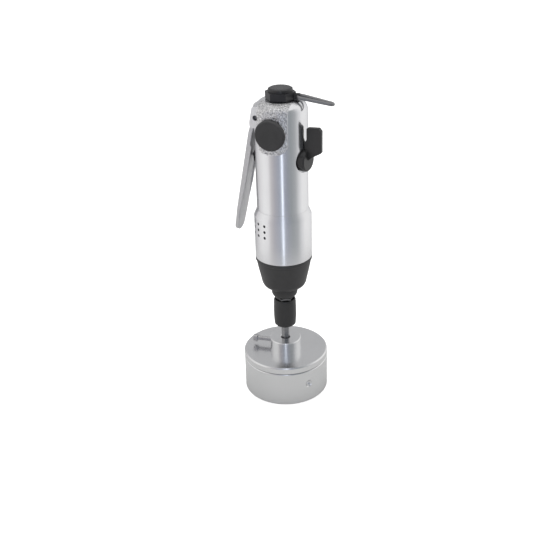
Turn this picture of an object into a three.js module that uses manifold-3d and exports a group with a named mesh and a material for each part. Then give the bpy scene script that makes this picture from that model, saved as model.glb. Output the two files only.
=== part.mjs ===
// A hand-held pneumatic capping machine: a lever-throttle air driver with a reversing valve,
// a planetary gear, a clutch and a quick-change bit holder, fitted with a bottle-capping chuck.
// Millimetres. +Z runs up the driver's axis, z = 0 is the chuck's rim, the air inlet faces -Y,
// the throttle lever is on the -X side and the reversing knob on the +X side.
import * as THREE from "three";
import { mergeVertices } from "three/addons/utils/BufferGeometryUtils.js";
import Module from "manifold-3d";

const wasm = await Module();
wasm.setup();

// ---------------------------------------------------------------- driving dimensions
const GAP = 0.3; // between pieces that touch on the real machine
const FINE = 32; // facets round the large turned pieces
const MEDIUM = 20;
const COARSE = 12;

// Capping chuck
const CHUCK_RADIUS = 38;
const CUP_TOP = 31.9;
const LINER_SEAT = 24; // depth from the rim to the face that the cap's top presses on
const LINER_RADIUS = 29.8;
const LINER_BORE = 17.75;
const LINER_HEIGHT = 18;
const LID_TOP = 38.6;
const BOSS_RADIUS = 14;
const BOSS_TOP = 49.5;
const LINER_SCREW_HEIGHT = 18.6;
const LINER_SCREW_ANGLES = [-35, 85, 205];
const CLAMP_HEIGHT = 44.5;
const CLAMP_ANGLE = 189; // the bolt points away from the lid's axis, mostly to -X

// Hexagon shank and bit holder
const SHANK_FLATS = 6.35;
const SHANK_TOP = 84.5;
const BALL_HEIGHT = 67.3;
const BALL_RADIUS = 1.55;
const SLEEVE_RADIUS = 10.1;
const SLEEVE_BOTTOM = 63.5;
const SLEEVE_TOP = 90;
const SPINDLE_RADIUS = 6;
const SPINDLE_TOP = 133;

// Nose, gear and clutch
const COLLAR_BOTTOM = 93.4;
const NOSE_BOTTOM = 103.5;
const NOSE_TOP = 133.2;
const CARRIER_TOP = 137;
const GEAR_MODULE = 0.75;
const SUN_TEETH = 12;
const PLANET_TEETH = 15;
const RING_TEETH = SUN_TEETH + 2 * PLANET_TEETH;
const PLANET_COUNT = 3;
const PLANET_ORBIT = (GEAR_MODULE * (SUN_TEETH + PLANET_TEETH)) / 2;
const GEAR_BOTTOM = 138;
const GEAR_TOP = 148;

// Grip and motor
const HOUSING_RADIUS = 24.7;
const GRIP_RADIUS = 22.1;
const SPIGOT_RADIUS = 20.9;
const FLARE_BOTTOM = 172.2;
const FLARE_TOP = 178.2;
const MOTOR_BORE = 18.3;
const MOTOR_RADIUS = 18;
const MOTOR_ECCENTRICITY = 1.5;
const ROTOR_RADIUS = 12.6;
const VANE_COUNT = 5;
const VANE_THICKNESS = 1.3;
const SHAFT_RADIUS = 2.7;

// Head
const HEAD_TOP = 271.8;
const CROWN_WIDTH = 9.4; // the head's crown rounds off inward by this
const CROWN_DROP = 9; // and downward by this
const PAD_RADIUS = 22.9; // the unmachined patch round the inlet stands proud of the grip
const PAD_HALF_WIDTH = 13.3;
const PAD_BOTTOM = 231.7;
const PAD_CORNER = 9;
const INLET_HEIGHT = 248.1;
const INLET_BORE = 6.2;
const INLET_FACE = 21.8;
const VALVE_HEIGHT = 222.3; // throttle valve's axis
const REVERSE_HEIGHT = 223.6; // reversing valve's axis
const REVERSE_ANGLE = THREE.MathUtils.degToRad(-8); // from +X, toward the inlet side
const EAR_REACH = 20.3; // at the pin's height and below
const EAR_TOP_REACH = 17.8;
const EAR_HALF_WIDTH = 18;
const VENT_ROWS = [168.3, 162.9, 157.6];
const VENT_ANGLES = [-107, -125, -143, -161, -179];
const VENT_RADIUS = 1.25;

// Throttle lever: a flat bar outside the ears, with a lug that reaches in to the pin
const PIN_X = -14.8;
const PIN_Z = 259.4;
const LEVER_TILT = THREE.MathUtils.degToRad(11);
const LEVER_NECK = 6.75; // half of the bar's width between the ears
const LEVER_HALF = 8.6; // and below them
const LEVER_TIP = 6.9; // radius of its round end
const LEVER_INNER = 4.4; // pin centre to the bar's inner face
const LEVER_OUTER = 7.9;
const LEVER_ABOVE = 7;
const LEVER_BELOW = 110.5;

// Hanger plug and bail
const PLUG_FLATS = 22;
const BAIL_ANGLE = 10;
const BAIL_PIVOT = 14.8; // distance of the bail's pivot from the axis
const BAIL_HEIGHT = 274.4;
const BAIL_WIRE = 1.4;
const BAIL_REACH = 44.2;
const BAIL_DROOP = THREE.MathUtils.degToRad(11);

// ---------------------------------------------------------------- materials
function metal(color, roughness) {
  return new THREE.MeshStandardMaterial({ color, roughness, metalness: 1 });
}

function dull(color, roughness) {
  return new THREE.MeshStandardMaterial({ color, roughness, metalness: 0 });
}

const aluminium = () => metal(0xc4c6ca, 0.28);
const steel = () => metal(0x8d8f92, 0.35);
const springSteel = () => metal(0x6d6f73, 0.4);
const brass = () => metal(0xb59a55, 0.35);
const blackMetal = () => dull(0x35373a, 0.42);
const rubber = () => dull(0x222222, 0.8);
const pump = () => metal(0x9a9ca0, 0.45);
const liner = () => dull(0xded8ca, 0.6);
const phenolic = () => dull(0x6b4a2a, 0.6);

// ---------------------------------------------------------------- shape helpers
// A closed three.js geometry as a solid that can be joined and cut.
function solid(geometry, matrix = new THREE.Matrix4()) {
  const bare = geometry.clone();
  bare.deleteAttribute("normal");
  bare.deleteAttribute("uv");
  bare.applyMatrix4(matrix);
  const merged = mergeVertices(bare, 1e-4);
  const corners = merged.index.array;
  const kept = [];
  for (let i = 0; i < corners.length; i += 3) {
    const [a, b, c] = corners.slice(i, i + 3);
    if (a !== b && b !== c && c !== a) kept.push(a, b, c);
  }
  return new wasm.Manifold(
    new wasm.Mesh({
      numProp: 3,
      vertProperties: merged.attributes.position.array,
      triVerts: new Uint32Array(kept),
    }),
  );
}

function geometryOf(shape) {
  const { vertProperties, triVerts } = shape.getMesh();
  const geometry = new THREE.BufferGeometry();
  geometry.setAttribute("position", new THREE.BufferAttribute(vertProperties, 3));
  geometry.setIndex(new THREE.BufferAttribute(triVerts, 1));
  geometry.computeVertexNormals();
  return geometry;
}

function cut(body, ...tools) {
  return tools.reduce((rest, tool) => rest.subtract(tool), body);
}

function join(first, ...others) {
  return others.reduce((whole, piece) => whole.add(piece), first);
}

// A profile of [radius, height] points, counter-clockwise, turned about Z.
function turned(profile, facets = MEDIUM, matrix) {
  const points = profile.map(([radius, height]) => new THREE.Vector2(radius, height));
  const closesOnAxis = profile[0][0] === 0;
  if (!closesOnAxis) points.push(points[0].clone());
  const lathe = new THREE.LatheGeometry(points, facets);
  lathe.rotateX(Math.PI / 2);
  return solid(lathe, matrix);
}

function rod(radius, bottom, top, facets = COARSE, matrix) {
  const profile = [
    [0, bottom],
    [radius, bottom],
    [radius, top],
    [0, top],
  ];
  return turned(profile, facets, matrix);
}

function tube(bore, radius, bottom, top, facets = MEDIUM) {
  const profile = [
    [bore, bottom],
    [radius, bottom],
    [radius, top],
    [bore, top],
  ];
  return turned(profile, facets);
}

// Points on an arc in a profile; angles in degrees from the radial direction.
function arc(radius, height, size, from, to, steps) {
  return Array.from({ length: steps + 1 }, (_, i) => {
    const angle = THREE.MathUtils.degToRad(from + ((to - from) * i) / steps);
    return [radius + size * Math.cos(angle), height + size * Math.sin(angle)];
  });
}

function block(x0, x1, y0, y1, z0, z1) {
  const box = new THREE.BoxGeometry(x1 - x0, y1 - y0, z1 - z0);
  box.translate((x0 + x1) / 2, (y0 + y1) / 2, (z0 + z1) / 2);
  return solid(box);
}

// A flat outline raised along Z, from bottom to top.
function raised(shape, bottom, top, facets = COARSE, matrix) {
  const options = { depth: top - bottom, bevelEnabled: false, curveSegments: facets };
  const plate = new THREE.ExtrudeGeometry(shape, options);
  plate.translate(0, 0, bottom);
  return solid(plate, matrix);
}

function outline(points) {
  return new THREE.Shape(points.map(([x, y]) => new THREE.Vector2(x, y)));
}

function hexagon(flats, turn = 0) {
  const corner = flats / Math.sqrt(3);
  const points = Array.from({ length: 6 }, (_, i) => {
    const angle = THREE.MathUtils.degToRad(turn + 30 + 60 * i);
    return [corner * Math.cos(angle), corner * Math.sin(angle)];
  });
  return outline(points);
}

// A round section swept along a curve.
function swept(curve, radius, steps, sides = 8) {
  const section = Array.from({ length: sides }, (_, i) => {
    const angle = (2 * Math.PI * i) / sides;
    return [radius * Math.cos(angle), radius * Math.sin(angle)];
  });
  const options = { steps, bevelEnabled: false, extrudePath: curve };
  return solid(new THREE.ExtrudeGeometry(outline(section), options));
}

class Helix extends THREE.Curve {
  constructor(radius, bottom, top, turns) {
    super();
    Object.assign(this, { radius, bottom, top, turns });
  }

  getPoint(t, target = new THREE.Vector3()) {
    const angle = 2 * Math.PI * this.turns * t;
    const height = this.bottom + (this.top - this.bottom) * t;
    return target.set(this.radius * Math.cos(angle), this.radius * Math.sin(angle), height);
  }
}

// A coil whose wire ends stay inside bottom and top.
function coil(radius, wire, bottom, top, turns, stepsPerTurn = 10) {
  const path = new Helix(radius, bottom + wire, top - wire, turns);
  return swept(path, wire, Math.round(turns * stepsPerTurn), 5);
}

function ringSeal(radius, wire, height) {
  const section = arc(radius, height, wire, 0, 300, 5);
  return turned(section, 16);
}

// Gear teeth as straight-sided points; shares are parts of one tooth pitch.
function toothPoints(teeth, baseRadius, crownRadius, baseShare, crownShare, offset) {
  const pitch = (2 * Math.PI) / teeth;
  const points = [];
  for (let i = 0; i < teeth; i += 1) {
    const centre = (i + offset) * pitch;
    const corners = [
      [baseRadius, -baseShare],
      [crownRadius, -crownShare],
      [crownRadius, crownShare],
      [baseRadius, baseShare],
    ];
    for (const [radius, share] of corners) {
      const angle = centre + (share * pitch) / 2;
      points.push([radius * Math.cos(angle), radius * Math.sin(angle)]);
    }
  }
  return points;
}

function gearOutline(teeth, offset) {
  const pitchRadius = (GEAR_MODULE * teeth) / 2;
  const root = pitchRadius - 1.2 * GEAR_MODULE;
  const crown = pitchRadius + 0.9 * GEAR_MODULE;
  return outline(toothPoints(teeth, root, crown, 0.56, 0.2, offset));
}

// Local +Z turned to point along a direction, from a point on the driver.
function facing(direction, origin = new THREE.Vector3()) {
  const up = new THREE.Vector3(0, 0, 1);
  const turn = new THREE.Quaternion().setFromUnitVectors(up, direction.clone().normalize());
  return new THREE.Matrix4().compose(origin, turn, new THREE.Vector3(1, 1, 1));
}

function aboutZ(degrees) {
  return new THREE.Matrix4().makeRotationZ(THREE.MathUtils.degToRad(degrees));
}

// ---------------------------------------------------------------- scene graph helpers
const machine = new THREE.Group();

function assembly(matrix, parent = machine) {
  const group = new THREE.Group();
  group.applyMatrix4(matrix ?? new THREE.Matrix4());
  parent.add(group);
  return group;
}

function place(parent, name, shape, material) {
  const mesh = new THREE.Mesh(geometryOf(shape), material);
  mesh.name = name;
  parent.add(mesh);
  return mesh;
}

const towardInlet = facing(new THREE.Vector3(0, -1, 0), new THREE.Vector3(0, 0, INLET_HEIGHT));
const towardLever = facing(new THREE.Vector3(-1, 0, 0), new THREE.Vector3(0, 0, VALVE_HEIGHT));
const towardKnob = facing(
  new THREE.Vector3(Math.cos(REVERSE_ANGLE), Math.sin(REVERSE_ANGLE), 0),
  new THREE.Vector3(0, 0, REVERSE_HEIGHT),
);

// ---------------------------------------------------------------- capping chuck
const LINER_SCREW_TIP = LINER_RADIUS + GAP;
const LINER_SCREW_HEAD = 37.7;
const CLAMP_TIP = SHANK_FLATS / 2 + GAP;
const CLAMP_HEAD_START = 26.3;

function radialAt(degrees, height) {
  const angle = THREE.MathUtils.degToRad(degrees);
  const direction = new THREE.Vector3(Math.cos(angle), Math.sin(angle), 0);
  return facing(direction, new THREE.Vector3(0, 0, height));
}

function chuckCup() {
  const bore = LINER_RADIUS + GAP;
  const body = turned(
    [
      [bore, 0],
      [CHUCK_RADIUS - 0.8, 0],
      [CHUCK_RADIUS, 0.8],
      [CHUCK_RADIUS, CUP_TOP - 0.6],
      [CHUCK_RADIUS - 0.6, CUP_TOP],
      [33, CUP_TOP],
      [33, LINER_SEAT],
      [bore, LINER_SEAT],
    ],
    FINE,
  );
  const holes = LINER_SCREW_ANGLES.map((angle) =>
    rod(2.8, bore - 2, CHUCK_RADIUS + 2, 12, radialAt(angle, LINER_SCREW_HEIGHT)),
  );
  return cut(body, ...holes);
}

function chuckLid() {
  const spigot = 33 - GAP;
  const floor = LINER_SEAT + GAP;
  const flange = CUP_TOP + GAP;
  const body = turned(
    [
      [0, floor],
      [spigot, floor],
      [spigot, flange],
      [CHUCK_RADIUS - 0.6, flange],
      [CHUCK_RADIUS, flange + 0.6],
      [CHUCK_RADIUS, LID_TOP - 1.1],
      [CHUCK_RADIUS - 1.1, LID_TOP],
      [BOSS_RADIUS, LID_TOP],
      [BOSS_RADIUS, BOSS_TOP - 0.7],
      [BOSS_RADIUS - 0.7, BOSS_TOP],
      [4.7, BOSS_TOP],
      [4, BOSS_TOP - 0.7],
      [4, 30],
      [0, 30],
    ],
    FINE,
  );
  return cut(body, rod(2.3, 2, BOSS_RADIUS + 2, 12, radialAt(CLAMP_ANGLE, CLAMP_HEIGHT)));
}

function chuckLiner() {
  return turned(
    [
      [LINER_BORE + 1.2, LINER_SEAT - LINER_HEIGHT],
      [LINER_RADIUS - 0.8, LINER_SEAT - LINER_HEIGHT],
      [LINER_RADIUS, LINER_SEAT - LINER_HEIGHT + 0.8],
      [LINER_RADIUS, LINER_SEAT],
      [LINER_BORE, LINER_SEAT],
      [LINER_BORE, LINER_SEAT - LINER_HEIGHT + 3],
    ],
    FINE,
  );
}

function linerScrew() {
  const body = rod(2.5, LINER_SCREW_TIP, LINER_SCREW_HEAD, 12);
  return cut(body, raised(hexagon(2.5), LINER_SCREW_HEAD - 2.5, LINER_SCREW_HEAD + 1));
}

function clampBolt() {
  const head = turned(
    [
      [0, CLAMP_HEAD_START],
      [3.5, CLAMP_HEAD_START],
      [3.5, CLAMP_HEAD_START + 3.6],
      [3.1, CLAMP_HEAD_START + 4],
      [0, CLAMP_HEAD_START + 4],
    ],
    COARSE,
  );
  const body = join(rod(2, CLAMP_TIP, CLAMP_HEAD_START + 1, 12), head);
  return cut(body, raised(hexagon(3), CLAMP_HEAD_START + 1.6, CLAMP_HEAD_START + 5));
}

function chuckShank() {
  const bar = raised(hexagon(SHANK_FLATS, CLAMP_ANGLE), 30 + GAP, SHANK_TOP);
  const neck = tube(2.75, 6, BALL_HEIGHT - 2.2, BALL_HEIGHT + 2.2, COARSE);
  return cut(bar, neck);
}

const chuck = assembly();
place(chuck, "chuck_cup", chuckCup(), aluminium());
place(chuck, "chuck_lid", chuckLid(), aluminium());
place(chuck, "chuck_liner", chuckLiner(), liner());
place(chuck, "chuck_shank", chuckShank(), steel());
LINER_SCREW_ANGLES.forEach((angle, i) => {
  const seat = assembly(radialAt(angle, LINER_SCREW_HEIGHT), chuck);
  place(seat, `liner_screw_${i + 1}`, linerScrew(), steel());
});
const clampSeat = assembly(radialAt(CLAMP_ANGLE, CLAMP_HEIGHT), chuck);
place(clampSeat, "clamp_bolt", clampBolt(), steel());

// ---------------------------------------------------------------- bit holder
const SLEEVE_BORE = SPINDLE_RADIUS + 0.45;
const SLEEVE_CHAMBER = 8.8;
const SLEEVE_LIP = 71; // top of the lip that holds the balls in, and the spring's seat
const SHOULDER_BOTTOM = 86.5;
const SHOULDER_TOP = 92.5;
const SHOULDER_FLATS = 14.8;
const RETAINER_BOTTOM = 64.35;
const BALL_ORBIT = 4.6;

// The spanner flats above the sleeve, with their top corners turned off.
function shoulder() {
  const cone = turned(
    [
      [0, SHOULDER_BOTTOM],
      [8.6, SHOULDER_BOTTOM],
      [8.6, SHOULDER_TOP - 1.2],
      [7.4, SHOULDER_TOP],
      [0, SHOULDER_TOP],
    ],
    MEDIUM,
  );
  return raised(hexagon(SHOULDER_FLATS), SHOULDER_BOTTOM, SHOULDER_TOP).intersect(cone);
}

function spindleShaft() {
  const body = turned(
    [
      [0, SLEEVE_BOTTOM + 0.2],
      [SPINDLE_RADIUS, SLEEVE_BOTTOM + 0.2],
      [SPINDLE_RADIUS, 64],
      [4.9, 64],
      [4.9, 65.6],
      [SPINDLE_RADIUS, 65.6],
      [SPINDLE_RADIUS, SPINDLE_TOP],
      [0, SPINDLE_TOP],
    ],
    MEDIUM,
  );
  const socket = raised(hexagon(SHANK_FLATS + 2 * GAP, CLAMP_ANGLE), 60, SHANK_TOP + 1);
  const ballHole = rod(BALL_RADIUS + GAP, -9, 9, 12, radialAt(CLAMP_ANGLE + 60, BALL_HEIGHT));
  return cut(join(body, shoulder()), socket, ballHole);
}

function colletSleeve() {
  return turned(
    [
      [8.25, SLEEVE_BOTTOM],
      [SLEEVE_RADIUS - 1.6, SLEEVE_BOTTOM],
      [SLEEVE_RADIUS - 0.5, SLEEVE_BOTTOM + 1.2],
      [SLEEVE_RADIUS, SLEEVE_BOTTOM + 9],
      [SLEEVE_RADIUS, SLEEVE_TOP - 8],
      [SLEEVE_RADIUS - 0.3, SLEEVE_TOP - 1.4],
      [SLEEVE_RADIUS - 1, SLEEVE_TOP],
      [SLEEVE_CHAMBER, SLEEVE_TOP],
      [SLEEVE_CHAMBER, SLEEVE_LIP],
      [SLEEVE_BORE, SLEEVE_LIP],
      [SLEEVE_BORE, 65.6],
      [8.25, 65.6],
    ],
    MEDIUM,
  );
}

// An open ring: its gap lets it spring over the shaft into the groove.
function retainingRing() {
  const ring = tube(5.2, 7.8, RETAINER_BOTTOM, RETAINER_BOTTOM + 0.9, 20);
  return cut(ring, block(0, 9, -1.4, 1.4, RETAINER_BOTTOM - 1, RETAINER_BOTTOM + 2));
}

const bitHolder = assembly();
place(bitHolder, "spindle_shaft", spindleShaft(), steel());
place(bitHolder, "collet_sleeve", colletSleeve(), blackMetal());
place(bitHolder, "sleeve_retaining_ring", retainingRing(), springSteel());
const sleeveSpring = coil(7.5, 0.5, SLEEVE_LIP + GAP, SHOULDER_BOTTOM - GAP, 5.5);
place(bitHolder, "sleeve_spring", sleeveSpring, springSteel());
[60, 240].forEach((offset, i) => {
  const seat = assembly(radialAt(CLAMP_ANGLE + offset, BALL_HEIGHT), bitHolder);
  const ball = place(
    seat,
    `lock_ball_${i + 1}`,
    solid(new THREE.SphereGeometry(BALL_RADIUS, 12, 8)),
    steel(),
  );
  ball.position.z = BALL_ORBIT;
});

// ---------------------------------------------------------------- nose and clutch
const COLLAR_NECK = 10.4;
const BUSH_RADIUS = 8.7;
const BUSH_BOTTOM = 97.5;
const NOSE_CAVITY = 17.5;
const DOG_COUNT = 3;

function noseCollar() {
  return turned(
    [
      [6.7, COLLAR_BOTTOM],
      [9.4, COLLAR_BOTTOM],
      [10.7, COLLAR_BOTTOM + 1.2],
      [11.4, COLLAR_BOTTOM + 2.8],
      [11.7, COLLAR_BOTTOM + 5.2],
      [11.7, NOSE_BOTTOM - GAP],
      [COLLAR_NECK, NOSE_BOTTOM - GAP],
      [COLLAR_NECK, 112],
      [BUSH_RADIUS + GAP, 112],
      [BUSH_RADIUS + GAP, BUSH_BOTTOM - GAP],
      [6.7, BUSH_BOTTOM - GAP],
    ],
    MEDIUM,
  );
}

function noseHousing() {
  return turned(
    [
      [COLLAR_NECK + GAP, NOSE_BOTTOM],
      [13.5, NOSE_BOTTOM],
      [16.4, NOSE_BOTTOM + 0.6],
      [18.2, NOSE_BOTTOM + 2],
      [19.5, NOSE_BOTTOM + 4.6],
      [20.2, NOSE_BOTTOM + 8],
      [22.4, NOSE_BOTTOM + 18],
      [HOUSING_RADIUS - 0.6, NOSE_TOP - 2.9],
      [HOUSING_RADIUS, NOSE_TOP - 2.4],
      [HOUSING_RADIUS, NOSE_TOP],
      [SPIGOT_RADIUS, NOSE_TOP],
      [SPIGOT_RADIUS, CARRIER_TOP],
      [NOSE_CAVITY, CARRIER_TOP],
      [NOSE_CAVITY, 114],
      [14, 110.3],
      [COLLAR_NECK + GAP, 110.3],
    ],
    FINE,
  );
}

function dog(shrink, bottom, top, turn) {
  const tooth = block(8 + shrink, 14 - shrink, -2.5 + shrink, 2.5 - shrink, bottom, top);
  return tooth.rotate([0, 0, turn]);
}

function dogs(shrink, bottom, top) {
  return Array.from({ length: DOG_COUNT }, (_, i) => {
    return dog(shrink, bottom, top, 60 + (360 / DOG_COUNT) * i);
  });
}

function clutchPlate() {
  return join(tube(SPINDLE_RADIUS + GAP, 14, 124, 127.6, MEDIUM), ...dogs(0.4, 127, 129.4));
}

function planetCarrier() {
  const body = turned(
    [
      [0, SPINDLE_TOP + GAP],
      [SPINDLE_RADIUS + GAP, SPINDLE_TOP + GAP],
      [SPINDLE_RADIUS + GAP, 128],
      [16.5, 128],
      [16.5, CARRIER_TOP],
      [0, CARRIER_TOP],
    ],
    MEDIUM,
  );
  const pinHoles = planetAngles().map((angle) => {
    const hole = rod(2.2, 131, CARRIER_TOP + 1, 12);
    return hole.translate([PLANET_ORBIT, 0, 0]).rotate([0, 0, angle]);
  });
  return cut(body, ...pinHoles, ...dogs(0, 127, 129.8));
}

function planetAngles() {
  return Array.from({ length: PLANET_COUNT }, (_, i) => (360 / PLANET_COUNT) * i);
}

const nose = assembly();
place(nose, "nose_collar", noseCollar(), blackMetal());
place(nose, "spindle_bush", tube(SPINDLE_RADIUS + GAP, BUSH_RADIUS, BUSH_BOTTOM, 111), brass());
place(nose, "nose_housing", noseHousing(), blackMetal());
const clutchNut = raised(hexagon(20), 112.8, 116);
place(nose, "clutch_nut", cut(clutchNut, rod(SPINDLE_RADIUS + GAP, 112, 117)), steel());
place(nose, "clutch_spring", coil(9.5, 1, 116.3, 123.7, 2.75), springSteel());
place(nose, "clutch_plate", clutchPlate(), steel());

// ---------------------------------------------------------------- planetary gear
function ringGear() {
  const pitchRadius = (GEAR_MODULE * RING_TEETH) / 2;
  const root = pitchRadius + 1.2 * GEAR_MODULE;
  const crown = pitchRadius - 0.9 * GEAR_MODULE;
  const rim = new THREE.Shape().absarc(0, 0, SPIGOT_RADIUS, 0, 2 * Math.PI);
  const teeth = toothPoints(RING_TEETH, root, crown, 0.56, 0.2, 0.5);
  rim.holes.push(new THREE.Path(teeth.map(([x, y]) => new THREE.Vector2(x, y))));
  return raised(rim, CARRIER_TOP + 0.4, GEAR_TOP + 0.6, MEDIUM);
}

function planetGear() {
  // A space faces the sun, so a tooth faces the ring.
  const shape = gearOutline(PLANET_TEETH, 0);
  shape.holes.push(new THREE.Path().absarc(0, 0, 2.25, 0, 2 * Math.PI));
  return raised(shape, GEAR_BOTTOM, GEAR_TOP, 6);
}

const gearbox = assembly();
place(gearbox, "ring_gear", ringGear(), steel());
place(gearbox, "planet_carrier", planetCarrier(), steel());
planetAngles().forEach((angle, i) => {
  const orbit = assembly(aboutZ(angle), gearbox);
  const planet = place(orbit, `planet_gear_${i + 1}`, planetGear(), steel());
  const pin = place(orbit, `planet_pin_${i + 1}`, rod(1.9, 131.3, GEAR_TOP, 12), steel());
  planet.position.x = PLANET_ORBIT;
  pin.position.x = PLANET_ORBIT;
});

// ---------------------------------------------------------------- air motor
const REAR_PLATE_BOTTOM = 195.5;
const REAR_PLATE_TOP = 203.6;
const FRONT_PLATE_BOTTOM = 149.2;
const FRONT_PLATE_TOP = 157.7;
const ROTOR_BOTTOM = FRONT_PLATE_TOP + 0.7;
const ROTOR_TOP = REAR_PLATE_BOTTOM - 0.7;
const SLOT_FLOOR = 6;
const BEARING_RADIUS = 9.5;

function bearing(bottom, top) {
  const groove = 0.5;
  return turned(
    [
      [SHAFT_RADIUS + GAP, bottom],
      [4.4, bottom],
      [4.8, bottom + groove],
      [7.6, bottom + groove],
      [8, bottom],
      [BEARING_RADIUS, bottom],
      [BEARING_RADIUS, top],
      [8, top],
      [7.6, top - groove],
      [4.8, top - groove],
      [4.4, top],
      [SHAFT_RADIUS + GAP, top],
    ],
    16,
  );
}

// An end plate carries a bearing in a pocket on one side.
function endPlate(bottom, top, pocketBottom, pocketTop) {
  const plate = tube(4.5, MOTOR_RADIUS, bottom, top, MEDIUM);
  return cut(plate, rod(BEARING_RADIUS + GAP, pocketBottom, pocketTop, 24));
}

function rearEndPlate() {
  const plate = endPlate(REAR_PLATE_BOTTOM, REAR_PLATE_TOP, 197.3, REAR_PLATE_TOP + 1);
  const ports = [-1, 1].map((side) => rod(1.6, 190, 210, 10).translate([9.5, 9.5 * side, 0]));
  return cut(plate, ...ports);
}

function motorCylinder() {
  const body = rod(MOTOR_RADIUS, FRONT_PLATE_TOP + GAP, REAR_PLATE_BOTTOM - GAP, FINE);
  const chamber = rod(14.5, 150, 200, FINE).translate([0, MOTOR_ECCENTRICITY, 0]);
  const slots = [162, 166].map((z) => block(-25, -9, -5, 1, z, z + 2.2));
  return cut(body, chamber, ...slots);
}

function rotor() {
  const body = rod(ROTOR_RADIUS, ROTOR_BOTTOM, ROTOR_TOP, FINE);
  const shaft = rod(SHAFT_RADIUS, GEAR_TOP - 0.5, 203, COARSE);
  const pinion = raised(gearOutline(SUN_TEETH, 0), GEAR_BOTTOM - 0.3, GEAR_TOP);
  const half = VANE_THICKNESS / 2 + GAP;
  const slots = vaneAngles().map((angle) =>
    block(SLOT_FLOOR, 14, -half, half, 150, 200).rotate([0, 0, angle]),
  );
  return join(cut(body, ...slots), shaft, pinion);
}

function vaneAngles() {
  return Array.from({ length: VANE_COUNT }, (_, i) => (360 / VANE_COUNT) * i);
}

function vane() {
  const half = VANE_THICKNESS / 2;
  return block(SLOT_FLOOR + GAP, ROTOR_RADIUS, -half, half, ROTOR_BOTTOM + 0.2, ROTOR_TOP - 0.2);
}

const motor = assembly();
place(motor, "motor_cylinder", motorCylinder(), pump());
place(motor, "rear_end_plate", rearEndPlate(), pump());
place(motor, "rear_bearing", bearing(197.6, 203.3), steel());
const frontPlate = endPlate(FRONT_PLATE_BOTTOM, FRONT_PLATE_TOP, 148, 155.7);
place(motor, "front_end_plate", frontPlate, pump());
place(motor, "front_bearing", bearing(149.5, 155.4), steel());
place(motor, "rotor", rotor(), steel());
vaneAngles().forEach((angle, i) => {
  place(assembly(aboutZ(angle), motor), `vane_${i + 1}`, vane(), phenolic());
});

// ---------------------------------------------------------------- grip and head
function lowerHousing() {
  const body = turned(
    [
      [SPIGOT_RADIUS + GAP, NOSE_TOP + GAP],
      [HOUSING_RADIUS - 0.3, NOSE_TOP + GAP],
      [HOUSING_RADIUS, NOSE_TOP + GAP + 0.3],
      [HOUSING_RADIUS, FLARE_BOTTOM],
      [GRIP_RADIUS, FLARE_TOP],
      [SPIGOT_RADIUS + GAP, FLARE_TOP],
    ],
    FINE,
  );
  const vents = VENT_ROWS.flatMap((height) =>
    VENT_ANGLES.map((angle) => rod(VENT_RADIUS, 19, 27, 8, radialAt(angle, height))),
  );
  return cut(body, ...vents);
}

// The head's outside at a given radius, up to its rounded crown.
function headProfile(radius, bottom) {
  return [
    [0, bottom],
    [radius, bottom],
    ...arc(0, 0, 1, 0, 90, 7).map(([across, up]) => [
      radius - CROWN_WIDTH * (1 - across),
      HEAD_TOP - CROWN_DROP * (1 - up),
    ]),
    [0, HEAD_TOP],
  ];
}

// The patch that the lathe can't reach: straight sides, and round corners below the inlet.
function inletPad() {
  const half = PAD_HALF_WIDTH;
  const face = new THREE.Shape();
  face.moveTo(-half, HEAD_TOP + 5);
  face.lineTo(-half, PAD_BOTTOM + PAD_CORNER);
  face.quadraticCurveTo(-half, PAD_BOTTOM, -half + PAD_CORNER, PAD_BOTTOM);
  face.lineTo(half - PAD_CORNER, PAD_BOTTOM);
  face.quadraticCurveTo(half, PAD_BOTTOM, half, PAD_BOTTOM + PAD_CORNER);
  face.lineTo(half, HEAD_TOP + 5);
  const upright = new THREE.Matrix4().makeRotationX(Math.PI / 2);
  const prism = raised(face, 8, INLET_FACE, 4, upright);
  const skin = turned(headProfile(PAD_RADIUS, 225), FINE);
  return skin.intersect(prism);
}

function ears() {
  const bottom = 250.8;
  const top = 268.2;
  const side = new THREE.Shape();
  side.moveTo(-6, bottom);
  side.lineTo(-EAR_REACH + 2.5, bottom);
  side.quadraticCurveTo(-EAR_REACH, bottom, -EAR_REACH, bottom + 2.5);
  side.lineTo(-EAR_REACH, bottom + 5);
  side.lineTo(-EAR_TOP_REACH, top - 0.8);
  side.lineTo(-EAR_TOP_REACH + 0.8, top);
  side.lineTo(-6, top);
  const upright = new THREE.Matrix4().makeRotationX(Math.PI / 2);
  return raised(side, -EAR_HALF_WIDTH, EAR_HALF_WIDTH, 4, upright);
}

function valveDrillings() {
  const supply = rod(2.6, VALVE_HEIGHT, INLET_HEIGHT, 12);
  const down = rod(2, 211, VALVE_HEIGHT, 10).translate([-14, 0, 0]);
  const up = rod(2, 211, VALVE_HEIGHT, 10).translate([13, 0, 0]);
  const across = rod(2, -14, 13, 10, facing(new THREE.Vector3(1, 0, 0), new THREE.Vector3(0, 0, 211)));
  const ports = [-4.6, 4.6].map((y) => rod(1.6, 200, VALVE_HEIGHT, 10).translate([9, y, 0]));
  return [supply, down, up, across, ...ports];
}

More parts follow.
